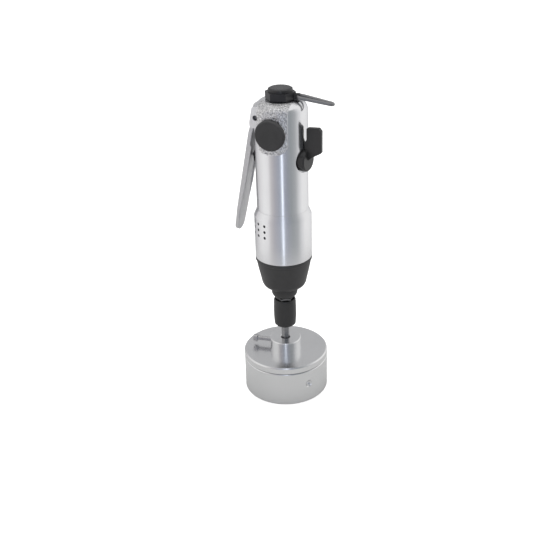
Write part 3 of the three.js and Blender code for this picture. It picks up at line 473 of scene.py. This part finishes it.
lid = lathe("turned_chuck_lid", [
    (0, 24.3), (32.7, 24.3, 0.3), (32.7, 32.2), (37.4, 32.2, 0.15), (CHUCK_RADIUS, 32.8, 0.15),
    (CHUCK_RADIUS, LID_TOP - 1.1, 0.2), (36.9, LID_TOP, 0.2), (BOSS_RADIUS, LID_TOP, 0.12),
    (BOSS_RADIUS, BOSS_TOP - 0.7, 0.15), (13.3, BOSS_TOP, 0.15), (4.7, BOSS_TOP, 0.1),
    (SHANK_BORE, BOSS_TOP - 0.7, 0.1), (SHANK_BORE, 30), (0, 30)])
cut(lid, rod("hole", 2.05, 2, 17, 32, CLAMP))
dressed(evened(lid), chuck_metal, "spindle", "chuck_aluminium", "chuck_lid")

liner = lathe("moulded_chuck_liner", [
    (18.95, 6, 0.5), (29, 6, 0.3), (29.8, 6.8, 0.3), (29.8, CUP_SHELF, 0.3),
    (17.75, CUP_SHELF, 0.2), (17.75, 9, 0.8)])
dressed(evened(liner), liner_white, "spindle", "liner_rubber", "chuck_liner")

for number, angle in enumerate(SCREW_ANGLES, 1):
    place = radial(angle, SCREW_HEIGHT)
    screw = rod(f"machined_liner_screw_{number}", SCREW_RADIUS, CUP_BORE, SCREW_END, 40, place,
                0.25)
    cut(screw, prism("hex", hexagon(2.5), SCREW_END - 1.1, 39, place))
    dressed(evened(screw), chuck_metal, "spindle", "dark_steel", f"liner_screw_{number}")

bolt = lathe("machined_clamp_bolt", [
    (0, 3.475), (1.7, 3.475), (2, 3.8), (2, CLAMP_HEAD), (3.3, CLAMP_HEAD, 0.2), (3.5, 26.7, 0.2),
    (3.5, 29.8, 0.3), (3.1, CLAMP_END, 0.3), (0, CLAMP_END)], 48, CLAMP)
cut(bolt, prism("hex", hexagon(3), CLAMP_END - 2.4, 32, CLAMP))
dressed(evened(bolt), bright_steel, "spindle", "bright_steel", "clamp_bolt")

shank = prism("ground_chuck_shank", hexagon(SHANK_FLATS, CLAMP_ANGLE, 0.25), 30.3, SHANK_TOP,
              edge=0.5)
cut(shank, lathe("neck", [(2.75, 65.1, 1.2), (6, 63.5), (6, 71.1), (2.75, 69.5, 1.2)], 48))
dressed(evened(shank), shank_steel, "spindle", "bright_steel", "chuck_shank")

# ------------------------------------------------------------------ bit holder and nose
SPINDLE_RADIUS, SPINDLE_FOOT, SPINDLE_TOP = 6, 63.7, 133
SOCKET_FLATS, SHOULDER_FLATS, SHOULDER_TOP = 6.95, 14.8, 92.5
SLEEVE_FOOT, SLEEVE_TOP = 63.5, 90
COLLAR_FOOT, NOSE_FOOT, NOSE_TOP = 93.4, 103.5, 133.2

spindle = lathe("ground_spindle_shaft", [
    (0, SPINDLE_FOOT), (SPINDLE_RADIUS, SPINDLE_FOOT, 0.1), (SPINDLE_RADIUS, 64), (4.9, 64),
    (4.9, 65.6), (SPINDLE_RADIUS, 65.6), (SPINDLE_RADIUS, SPINDLE_TOP, 0.3), (0, SPINDLE_TOP)], 96)
shoulder = prism("shoulder", hexagon(SHOULDER_FLATS, 0, 0.3), 86.5, SHOULDER_TOP)
common(shoulder, lathe("cone", [
    (0, 86), (8, 86), (8.6, 87.1), (8.6, 91.3, 0.4), (7.4, SHOULDER_TOP, 0.4),
    (0, SHOULDER_TOP)], 96))
joined(spindle, shoulder)
cut(spindle, prism("socket", hexagon(SOCKET_FLATS, CLAMP_ANGLE), 60, 85.5),
    rod("ball_hole", 1.85, -9, 9, 32, radial(CLAMP_ANGLE + 60, 67.3)))
dressed(evened(spindle), dark_steel, "spindle", "bright_steel", "spindle_shaft")

sleeve = lathe("turned_collet_sleeve", [
    (8.25, SLEEVE_FOOT, 0.1), (8.5, SLEEVE_FOOT, 0.2), (9.6, 64.7, 0.6), (10.1, 72.5, 2.5),
    (10.1, 82, 2), (9.8, 88.6, 0.5), (9.1, SLEEVE_TOP, 0.3), (8.8, SLEEVE_TOP, 0.1), (8.8, 71),
    (6.45, 71), (6.45, 65.6), (8.25, 65.6)], 96)
dressed(evened(sleeve), black_metal, "sleeve", "black_anodised", "collet_sleeve")

collar = lathe("turned_nose_collar", [
    (6.7, COLLAR_FOOT, 0.2), (9.4, COLLAR_FOOT, 0.5), (10.7, 94.6, 0.8), (11.4, 96.2, 1),
    (11.7, 98.6, 1), (11.7, 103.2, 0.2), (10.4, 103.2), (10.4, 112), (9, 112), (9, 97.2),
    (6.7, 97.2)], 96)
dressed(evened(collar), nose_black, "housing", "black_anodised", "nose_collar")

nose = lathe("turned_nose_housing", [
    (10.7, NOSE_FOOT, 0.2), (13.5, NOSE_FOOT, 1.5), (16.4, 104.1, 2), (18.2, 105.5, 2),
    (19.5, 108.1, 3), (20.2, 111.5, 5), (22.4, 121.5, 8), (24.1, 130.3, 0.3), (24.7, 130.8, 0.2),
    (24.7, NOSE_TOP, 0.2), (20.9, NOSE_TOP), (20.9, 137, 0.3), (17.5, 137, 0.3), (17.5, 114, 1),
    (14, 110.3, 1), (10.7, 110.3)])
dressed(evened(nose), nose_black, "housing", "black_anodised", "nose_housing")

# ------------------------------------------------------------------ lower housing
LOWER_RADIUS, LOWER_FOOT, LOWER_TOP = 24.7, 133.5, 178.4
VENT_ROWS, VENT_ANGLES = (168.3, 162.9, 157.6), [-107 - 18 * i for i in range(5)]

lower = lathe("turned_lower_housing", [
    (21.2, LOWER_FOOT, 0.2), (24.4, LOWER_FOOT, 0.15), (LOWER_RADIUS, 133.8, 0.2),
    (LOWER_RADIUS, 172.2, 0.3), (22.1, LOWER_TOP, 0.1), (21.2, LOWER_TOP, 0.1)])
cut(lower, *[rod("vent", 1.25, 19, 27, 24, radial(angle, height))
             for height in VENT_ROWS for angle in VENT_ANGLES])
dressed(evened(lower), housing_metal, "housing", "grip_aluminium", "lower_housing")

# ------------------------------------------------------------------ handle
GRIP_RADIUS, GRIP_FOOT = 22.1, 178.5
HEAD_TOP, CROWN_WIDTH, CROWN_DROP = 271.8, 9.4, 9
CAST_RADIUS, CAST_FACE = 22.9, 21.8  # the cast patch stands out of the grip and ends in a flat
PAD_HALF, PAD_BACK, PAD_BOTTOM = 13.3, 8, 231.7
EAR_REACH, EAR_HALF, EAR_TOP = 20.3, 18, 268.2
PIN = Vector((-14.8, 0, 259.4))
INLET_HEIGHT, THROTTLE_HEIGHT, REVERSE_HEIGHT = 248.1, 222.3, 223.6
INLET = facing((0, -1, 0), (0, 0, INLET_HEIGHT))
LEVER_SIDE = facing((-1, 0, 0), (0, 0, THROTTLE_HEIGHT))
KNOB_TURN = Matrix.Rotation(math.radians(-8), 4, "Z")
KNOB_SIDE = facing(KNOB_TURN @ Vector((1, 0, 0)), (0, 0, REVERSE_HEIGHT))
ACROSS_PIN = facing((0, -1, 0), PIN)


def head(name, radius, low):
    """The grip's outline from low to its crown, which is a quarter of an ellipse."""
    turns = [math.pi / 2 * k / 16 for k in range(17)]
    crown = [(radius - CROWN_WIDTH * (1 - math.cos(turn)),
              HEAD_TOP - CROWN_DROP * (1 - math.sin(turn))) for turn in turns]
    return lathe(name, [(0, low), (radius, low), *crown, (0, HEAD_TOP)])


def upright(name, corners, low, high, **options):
    """An outline in the X-Z plane, raised along Y from low to high."""
    turn = Matrix(((1, 0, 0, 0), (0, 0, -1, 0), (0, 1, 0, 0), (0, 0, 0, 1)))
    return prism(name, corners, -high, -low, turn, **options)


handle = head("cast_handle", GRIP_RADIUS, GRIP_FOOT)
pad = upright("pad_face", [
    (-PAD_HALF, PAD_BOTTOM, 8), (PAD_HALF, PAD_BOTTOM, 8), (PAD_HALF, HEAD_TOP + 5),
    (-PAD_HALF, HEAD_TOP + 5)], -CAST_FACE, -PAD_BACK, steps=10)
patch = common(head("patch", CAST_RADIUS, 225), pad)
ears = upright("ears", [
    (-EAR_REACH, 250.8, 2.2), (-6, 250.8), (-6, EAR_TOP), (-17.8, EAR_TOP, 0.8),
    (-EAR_REACH, 255.8, 6)], -EAR_HALF, EAR_HALF, edge=0.5)
joined(handle, rod("spigot", 20.9, 148.9, 179.2, SMOOTH), patch,
       rod("boss", 12.4, 8, CAST_FACE, SMOOTH, INLET), ears)
cut(handle,
    rod("motor_bore", 18.3, 140, 204, SMOOTH),
    lathe("groove", [(19.7, 154.5), (25, 154.5), (25, 171.5), (19.7, 171.5)]),
    rod("port", 5, INLET_HEIGHT, 260, 32), rod("plug_thread", 8.2, 257.5, 280, 48),
    rod("seal_seat", 10.6, HEAD_TOP - 1.6, 280, 64),
    rod("inlet", 6.2, -5, 30, 48, INLET), rod("spot_face", 13.2, CAST_FACE, 30, SMOOTH, INLET),
    rod("throttle", 5.5, -4, 30, 48, LEVER_SIDE), rod("throttle_seat", 7.2, 22, 30, 48, LEVER_SIDE),
    rod("valve", 6.5, 5.5, 30, 48, KNOB_SIDE), rod("knob_seat", 10.4, 17.3, 30, 72, KNOB_SIDE),
    upright("channel", [(-40, 231), (-17.1, 231), (-17.1, 280), (-40, 280)], -7.4, 7.4),
    upright("lug_slot", [(-22, PIN.z - 6.5), (-11.4, PIN.z - 6.5), (-11.4, PIN.z + 6.5),
                         (-22, PIN.z + 6.5)], -3.4, 3.4),
    rod("pin_bore", 2.2, -25, 25, 32, ACROSS_PIN))
for finish in (grip_metal, cast_metal, ear_highlight_metal):
    handle.data.materials.append(finish)
CAST, EAR = 1, 2
for face in handle.data.polygons:
    middle = face.center / MM
    reach = math.hypot(middle.x, middle.y)
    raised = reach > GRIP_RADIUS + 0.2
    in_pad = middle.y < -PAD_BACK and abs(middle.x) < PAD_HALF - 0.1 and middle.z > PAD_BOTTOM - 0.1
    outer = raised and face.normal.xy.dot(middle.xy / reach) > 0.5
    crown = HEAD_TOP - 0.1 > middle.z > HEAD_TOP - CROWN_DROP and abs(face.normal.z) < 0.995
    front = middle.y < 0.1 - CAST_FACE and face.normal.y < -0.9
    if in_pad and (outer or crown or front):
        face.material_index = CAST
    # The ear's front face takes the almost white material, a painted highlight.
    ear_highlight_face = -EAR_HALF - 0.1 < middle.y < 0.6 - EAR_HALF and face.normal.y < -0.3
    if ear_highlight_face and raised and middle.x < -PAD_HALF:
        face.material_index = EAR
dressed(evened(handle), grip_metal, "housing", "grip_aluminium", "handle")

# ------------------------------------------------------------------ inlet
CAP_RADIUS, CAP_BACK, CAP_FACE = 12.7, 22.1, 25.7
cap = lathe("moulded_dust_cap", [
    (0, 16), (5.4, 16, 0.3), (5.8, 16.6, 0.3), (5.8, CAP_BACK), (CAP_RADIUS, CAP_BACK, 0.2),
    (CAP_RADIUS, 24.6, 0.7), (11.7, CAP_FACE, 0.9), (0, CAP_FACE)], SMOOTH, INLET)
dressed(evened(cap), cap_black, "dust_cap", "black_rubber", "inlet_dust_cap")

# ------------------------------------------------------------------ throttle
BUSH_BORE, BUSH_FACE, STEM_RADIUS, STEM_TIP = 2.3, 22.7, 1.9, 26.1
bush = lathe("turned_throttle_bush", [
    (BUSH_BORE, 8), (5.2, 8, 0.2), (5.2, 22.1), (6.8, 22.1, 0.05), (6.8, 22.4, 0.1),
    (6.5, BUSH_FACE, 0.1), (BUSH_BORE, BUSH_FACE, 0.1)], 64, LEVER_SIDE)
cut(bush, rod("port", 1.8, -8, 8, 24, facing((0, 0, 1), (-14, 0, THROTTLE_HEIGHT))))
dressed(evened(bush), black_metal, "housing", "black_anodised", "throttle_bush")

stem = lathe("ground_throttle_stem", [
    (0, 4.6), (4.3, 4.6, 0.2), (4.3, 6.2, 0.2), (STEM_RADIUS, 6.2), (STEM_RADIUS, 25, 0.5),
    (1.1, STEM_TIP, 0.4), (0, STEM_TIP)], 40, LEVER_SIDE)
dressed(evened(stem), dark_steel, "stem", "dark_steel", "throttle_stem")

# The lever's own frame: local Z up the bar, local X outward, the pin at the origin.
LEVER_HALF, LEVER_NECK, LEVER_TIP = 8.6, 6.75, 6.9
LEVER_ABOVE, LEVER_BELOW, LEVER_BACK, LEVER_FACE = 7, 110.5, 4.4, 7.9
lever_place = (Matrix.Translation(PIN) @ Matrix.Rotation(math.pi, 4, "Z")
               @ Matrix.Rotation(math.radians(-11), 4, "Y"))
bar_turn = lever_place @ Matrix(((0, 0, 1, 0), (1, 0, 0, 0), (0, 1, 0, 0), (0, 0, 0, 1)))
lug_turn = lever_place @ Matrix(((1, 0, 0, 0), (0, 0, -1, 0), (0, 1, 0, 0), (0, 0, 0, 1)))
lever = prism("cast_throttle_lever", [
    *arc(LEVER_TIP, 0, LEVER_TIP - LEVER_BELOW, 180, 360, 6),
    (LEVER_HALF, -88, 20), (LEVER_HALF, -18, 3), (LEVER_NECK, -12, 3),
    (LEVER_NECK, LEVER_ABOVE, 2), (-LEVER_NECK, LEVER_ABOVE, 2), (-LEVER_NECK, -12, 3),
    (-LEVER_HALF, -18, 3), (-LEVER_HALF, -88, 20)], LEVER_BACK, LEVER_FACE, bar_turn,
    edge=0.6, layers=5)
lug = prism("lug", [*arc(3.2, 0, 0, 90, 270, 6), (5.4, -4.6), (5.4, 4.6)], -3, 3, lug_turn,
            edge=0.2)
ribs = [prism("rib", [(3.7, -66), (3.2, -30, 2), (5.3, -26), (5.3, -96)], low, low + 1.5,
              lug_turn, edge=0.15) for low in (-LEVER_HALF, LEVER_HALF - 1.5)]
joined(lever, lug, *ribs)
cut(lever, rod("pin_hole", 2.25, -5, 5, 32, ACROSS_PIN))
dressed(evened(lever), lever_metal, "lever", "lever_aluminium", "throttle_lever")

pin = rod("ground_lever_pin", 1.9, -15.5, 15.5, 40, ACROSS_PIN, 0.3)
dressed(evened(pin), dark_steel, "housing", "dark_steel", "lever_pin")

# ------------------------------------------------------------------ reversing knob
KNOB_RADIUS, KNOB_BACK, KNOB_FACE = 9.2, 17.6, 25.8
PADDLE_ROOT, PADDLE_BACK, PADDLE_REACH = 22.6, 24.4, 37.6
knob = lathe("moulded_reverse_knob", [
    (0, 21.9), (3.3, 21.9), (3.3, KNOB_BACK), (KNOB_RADIUS, KNOB_BACK, 0.3),
    (KNOB_RADIUS, 24.9, 0.4), (8.3, KNOB_FACE, 0.5), (0, KNOB_FACE)], SMOOTH, KNOB_SIDE)
paddle = upright("paddle", [
    (PADDLE_BACK, 222.9), (26.3, 224.5, 1.5), (30, 227.4, 3), (PADDLE_REACH, 231.8, 2),
    (PADDLE_REACH, 250.2, 0.8), (35.4, 252.6, 0.8), (25.5, 251.7, 0.8), (PADDLE_BACK, 250.6, 0.8),
    (PADDLE_BACK, 241.6, 1), (PADDLE_ROOT, 239.1, 0.8), (PADDLE_ROOT, 222.6)], -1.9, 1.9, edge=0.6)
paddle.data.transform(KNOB_TURN)
joined(knob, paddle)
cut(knob, rod("screw_hole", 1.6, 2, 12, 24, facing((0, 0, -1), KNOB_SIDE @ Vector((0, 0, 20.4)))))
dressed(evened(knob), black_metal, "knob", "black_anodised", "reverse_knob")

# ------------------------------------------------------------------ hanger
PLUG_FLATS, PLUG_TURN, PLUG_FOOT, HEX_TOP = 22, -18, 272.1, 278.1
DOME_RADIUS, DOME_TOP = 10, 281.2
BAIL_TURN = Matrix.Rotation(math.radians(10), 4, "Z")
BAIL_PIVOT = Vector((14.8, 0, 274.4))
BAIL_WIRE, BAIL_REACH, BAIL_DROOP = 1.4, 44.2, math.radians(11)

plug = prism("machined_hanger_plug", hexagon(PLUG_FLATS, PLUG_TURN, 0.3), PLUG_FOOT, HEX_TOP)
common(plug, lathe("chamfer", [
    (0, 272), (12, 272), (13.1, 272.7), (13.1, 277.5), (12.3, HEX_TOP), (12.3, 279), (0, 279)], 96))
plug_lug = upright("plug_lug", [
    (8, 272.2), *arc(2.3, BAIL_PIVOT.x, BAIL_PIVOT.z, -90, 90, 10), (8, 276.7)],
    -1.9, 1.9, edge=0.4)
plug_lug.data.transform(BAIL_TURN)
joined(plug, rod("shank", 7.9, 258, 273, 64),
       lathe("dome", [(0, HEX_TOP - 1), (DOME_RADIUS, HEX_TOP - 1), (DOME_RADIUS, 280.4, 0.3),
                      (8.6, 281.1, 0.3), (6, DOME_TOP, 1), (0, DOME_TOP)], 96), plug_lug)
pivot = BAIL_TURN @ BAIL_PIVOT
across = BAIL_TURN @ Vector((0, 1, 0))
cut(plug, rod("pivot_hole", 1.6, -5, 5, 24, facing(across, pivot)))
dressed(evened(plug), plug_black, "housing", "black_anodised", "hanger_plug")

seal = lathe("moulded_hanger_seal", arc(0.75, 9.35, HEAD_TOP - 0.7, 0, 330, 30), 72)
dressed(seal, seal_black, "housing", "black_rubber", "hanger_seal_ring")

# The bail lies along local X with its pivot at the origin.
reach = (BAIL_REACH - BAIL_PIVOT.x) / math.cos(BAIL_DROOP) - BAIL_WIRE
side = [(0, 0.6), (0, 2.2), (0.7, 3.5), (2.4, 3.95), (10, 3.4), (reach - 5, 2.1),
        (reach - 1.4, 1.7)]
spots = [*side, (reach, 0), *[(x, -y) for x, y in reversed(side)]]
bail_place = BAIL_TURN @ Matrix.Translation(BAIL_PIVOT) @ Matrix.Rotation(BAIL_DROOP, 4, "Y")


def threaded(spots, each=8):
    """A smooth centripetal curve through the spots."""
    knots = [Vector((x, y, 0)) for x, y in spots]
    knots = [2 * knots[0] - knots[1], *knots, 2 * knots[-1] - knots[-2]]
    path = []
    for a, b, c, d in zip(knots, knots[1:], knots[2:], knots[3:]):
        times = [0.0]
        for p, q in ((a, b), (b, c), (c, d)):
            times.append(times[-1] + max(1e-4, (q - p).length) ** 0.5)
        for k in range(each):
            t = times[1] + (times[2] - times[1]) * k / each
            first = [a.lerp(b, (t - times[0]) / (times[1] - times[0])),
                     b.lerp(c, (t - times[1]) / (times[2] - times[1])),
                     c.lerp(d, (t - times[2]) / (times[3] - times[2]))]
            second = [first[0].lerp(first[1], (t - times[0]) / (times[2] - times[0])),
                      first[1].lerp(first[2], (t - times[1]) / (times[3] - times[1]))]
            path.append(second[0].lerp(second[1], (t - times[1]) / (times[2] - times[1])))
    return [*path, knots[-2]]


bail = swept("bent_hanging_bail", [bail_place @ spot for spot in threaded(spots)], BAIL_WIRE)
dressed(bail, bail_steel, "bail", "bright_steel", "hanging_bail")

# ------------------------------------------------------------------ pieces kept from the CAD frame
KEPT = {
    bright_steel: ["sleeve_retaining_ring", "lock_ball_1", "lock_ball_2", "clutch_plate",
                   "planet_carrier", "planet_pin_1", "planet_pin_2", "planet_pin_3",
                   "rear_bearing", "front_bearing", "rotor"],
    dark_steel: ["clutch_nut", "planet_gear_1", "planet_gear_2", "planet_gear_3", "ring_gear",
                 "knob_grub_screw"],
    wire_steel: ["sleeve_spring", "clutch_spring", "throttle_spring", "inlet_screen"],
    motor_iron: ["motor_cylinder", "rear_end_plate", "front_end_plate"],
    bronze: ["spindle_bush", "reverse_spool"],
    vane_resin: ["vane_1", "vane_2", "vane_3", "vane_4", "vane_5"],
    seal_black: ["throttle_seal", "reverse_seal_ring"],
}
for finish, names in KEPT.items():
    for name in names:
        nodes[name].data.materials.clear()
        nodes[name].data.materials.append(finish)

# ------------------------------------------------------------------ stage, light and camera
AZIMUTH, PITCH, ROLL = math.radians(23), math.radians(27.4), math.radians(1.25)
DISTANCE, AIM = 0.772, Vector((0, 0, 0.1126))
toward_camera = Vector((math.sin(AZIMUTH), -math.cos(AZIMUTH), 0))
beside_camera = Vector((math.cos(AZIMUTH), math.sin(AZIMUTH), 0))


def staged(name, points, faces, finish, *hidden_from):
    """A piece of the surroundings, hidden from the kinds of ray that are named."""
    mesh = bpy.data.meshes.new(name)
    mesh.from_pydata(points, [], faces)
    thing = bpy.data.objects.new(name, mesh)
    bpy.context.scene.collection.objects.link(thing)
    mesh.materials.append(finish)
    for ray in hidden_from:
        setattr(thing, f"visible_{ray}", False)


def floor_card(name, height, grey, glow, *hidden_from):
    finish = Finish(name, (grey, grey, grey), 0.0, 0.8, 0.0)
    finish.shader.inputs["Emission Color"].default_value = (1, 1, 1, 1)
    finish.shader.inputs["Emission Strength"].default_value = glow
    half = 8  # metres
    corners = [(x * half, y * half, height) for x, y in ((-1, -1), (1, -1), (1, 1), (-1, 1))]
    staged(name, corners, [(0, 1, 2, 3)], finish.material, *hidden_from)


# The table is white paper; what the metal mirrors of it is the greyer cloth of the tent's floor.
floor_card("floor_paper", 0, 0.9, 0.25, "diffuse", "glossy", "transmission", "shadow")
floor_card("floor_cloth", -0.0005, 0.44, 0.0, "camera")


def tent_wall(name, radius, high, start, end, stops):
    """A curved wall that only the metal mirrors; it glows with the stops' colours, its own light
    standing in for lit cloth. Degrees run rightwards from the front;
    stops are (degrees, colour)."""
    count = 48
    points, faces = [], []
    for k in range(count + 1):
        turn = math.radians(start + (end - start) * k / count)
        spot = (toward_camera * math.cos(turn) + beside_camera * math.sin(turn)) * radius
        points += [(spot.x, spot.y, 0), (spot.x, spot.y, high)]
    for k in range(count):
        faces.append((2 * k, 2 * k + 1, 2 * k + 3, 2 * k + 2))
    finish = Finish(name, (0, 0, 0), 0.0, 1.0, 0.0)
    parts = finish.node("ShaderNodeSeparateXYZ")
    turned = finish.node("ShaderNodeVectorRotate", rotation_type="Z_AXIS")
    middle = math.radians(start + end) / 2
    turned.inputs["Angle"].default_value = math.pi / 2 - AZIMUTH - middle
    finish.link(finish.spot, turned.inputs["Vector"])
    finish.link(turned.outputs[0], parts.inputs[0])
    angle = finish.math("ARCTAN2", parts.outputs["Y"], parts.outputs["X"])
    ramp = finish.node("ShaderNodeValToRGB")
    share = finish.ranged(angle, 0.0, 1.0, math.radians(start) - middle, math.radians(end) - middle)
    finish.link(share, ramp.inputs[0])
    marks = ramp.color_ramp.elements
    while len(marks) < len(stops):
        marks.new(0.5)
    for mark, (degrees, _) in zip(list(marks), stops):
        mark.position = (degrees - start) / (end - start)
    for mark, (_, color) in zip(marks, stops):
        mark.color = (*color, 1)
    finish.link(ramp.outputs[0], finish.shader.inputs["Emission Color"])
    finish.shader.inputs["Emission Strength"].default_value = 1.0
    staged(name, points, faces, finish.material, "camera", "diffuse", "transmission", "shadow")


CLOTH, BACK_CLOTH, STRIP = (0.88, 0.875, 0.87), (0.5, 0.5, 0.51), (1.3, 1.38, 1.55)
tent_wall("front_wall", 0.3, 0.55, -150, 150, [
    (-150, (0.42, 0.42, 0.43)), (-134, (0.52, 0.52, 0.53)), (-123, (0.64, 0.63, 0.64)),
    (-106, (0.78, 0.77, 0.77)), (-84, CLOTH), (-62, (0.86, 0.85, 0.85)),
    (-48, (0.58, 0.56, 0.57)), (-34, (0.44, 0.43, 0.46)), (-14, (0.37, 0.39, 0.45)),
    (-4.5, (0.42, 0.45, 0.52)), (-3, STRIP), (3, STRIP), (4.5, (0.38, 0.4, 0.47)),
    (20, (0.32, 0.335, 0.38)), (38, (0.32, 0.34, 0.35)), (58, (0.42, 0.43, 0.44)),
    (76, (0.72, 0.72, 0.73)), (92, CLOTH), (115, CLOTH), (150, (0.74, 0.74, 0.75))])
tent_wall("back_wall", 0.6, 1.0, 115, 245, [
    (115, CLOTH), (135, BACK_CLOTH), (225, BACK_CLOTH), (245, CLOTH)])

lamp = bpy.data.lights.new("overhead", "AREA")
lamp.shape = "RECTANGLE"
lamp.size = lamp.size_y = 2.2
lamp.energy = 24
overhead = bpy.data.objects.new("overhead", lamp)
overhead.location = (0, 0, 1.6)
overhead.visible_glossy = False
bpy.context.scene.collection.objects.link(overhead)

world = bpy.data.worlds.new("studio")
bpy.context.scene.world = world
world.use_nodes = True
background = world.node_tree.nodes["Background"]
background.inputs["Color"].default_value = (*CLOTH, 1)
background.inputs["Strength"].default_value = 1.0
bpy.context.scene.view_settings.view_transform = "Standard"

camera_data = bpy.data.cameras.new("camera")
camera_data.sensor_width = 36
camera_data.lens = 57.1
camera_data.shift_x = -0.0169
camera = bpy.data.objects.new("camera", camera_data)
back = toward_camera * math.cos(PITCH) + Vector((0, 0, math.sin(PITCH)))
camera.location = AIM + back * DISTANCE
camera.rotation_mode = "QUATERNION"
level = (-back).to_track_quat("-Z", "Y")
camera.rotation_quaternion = level @ Matrix.Rotation(-ROLL, 3, "Z").to_quaternion()
bpy.context.scene.collection.objects.link(camera)
bpy.context.scene.camera = camera
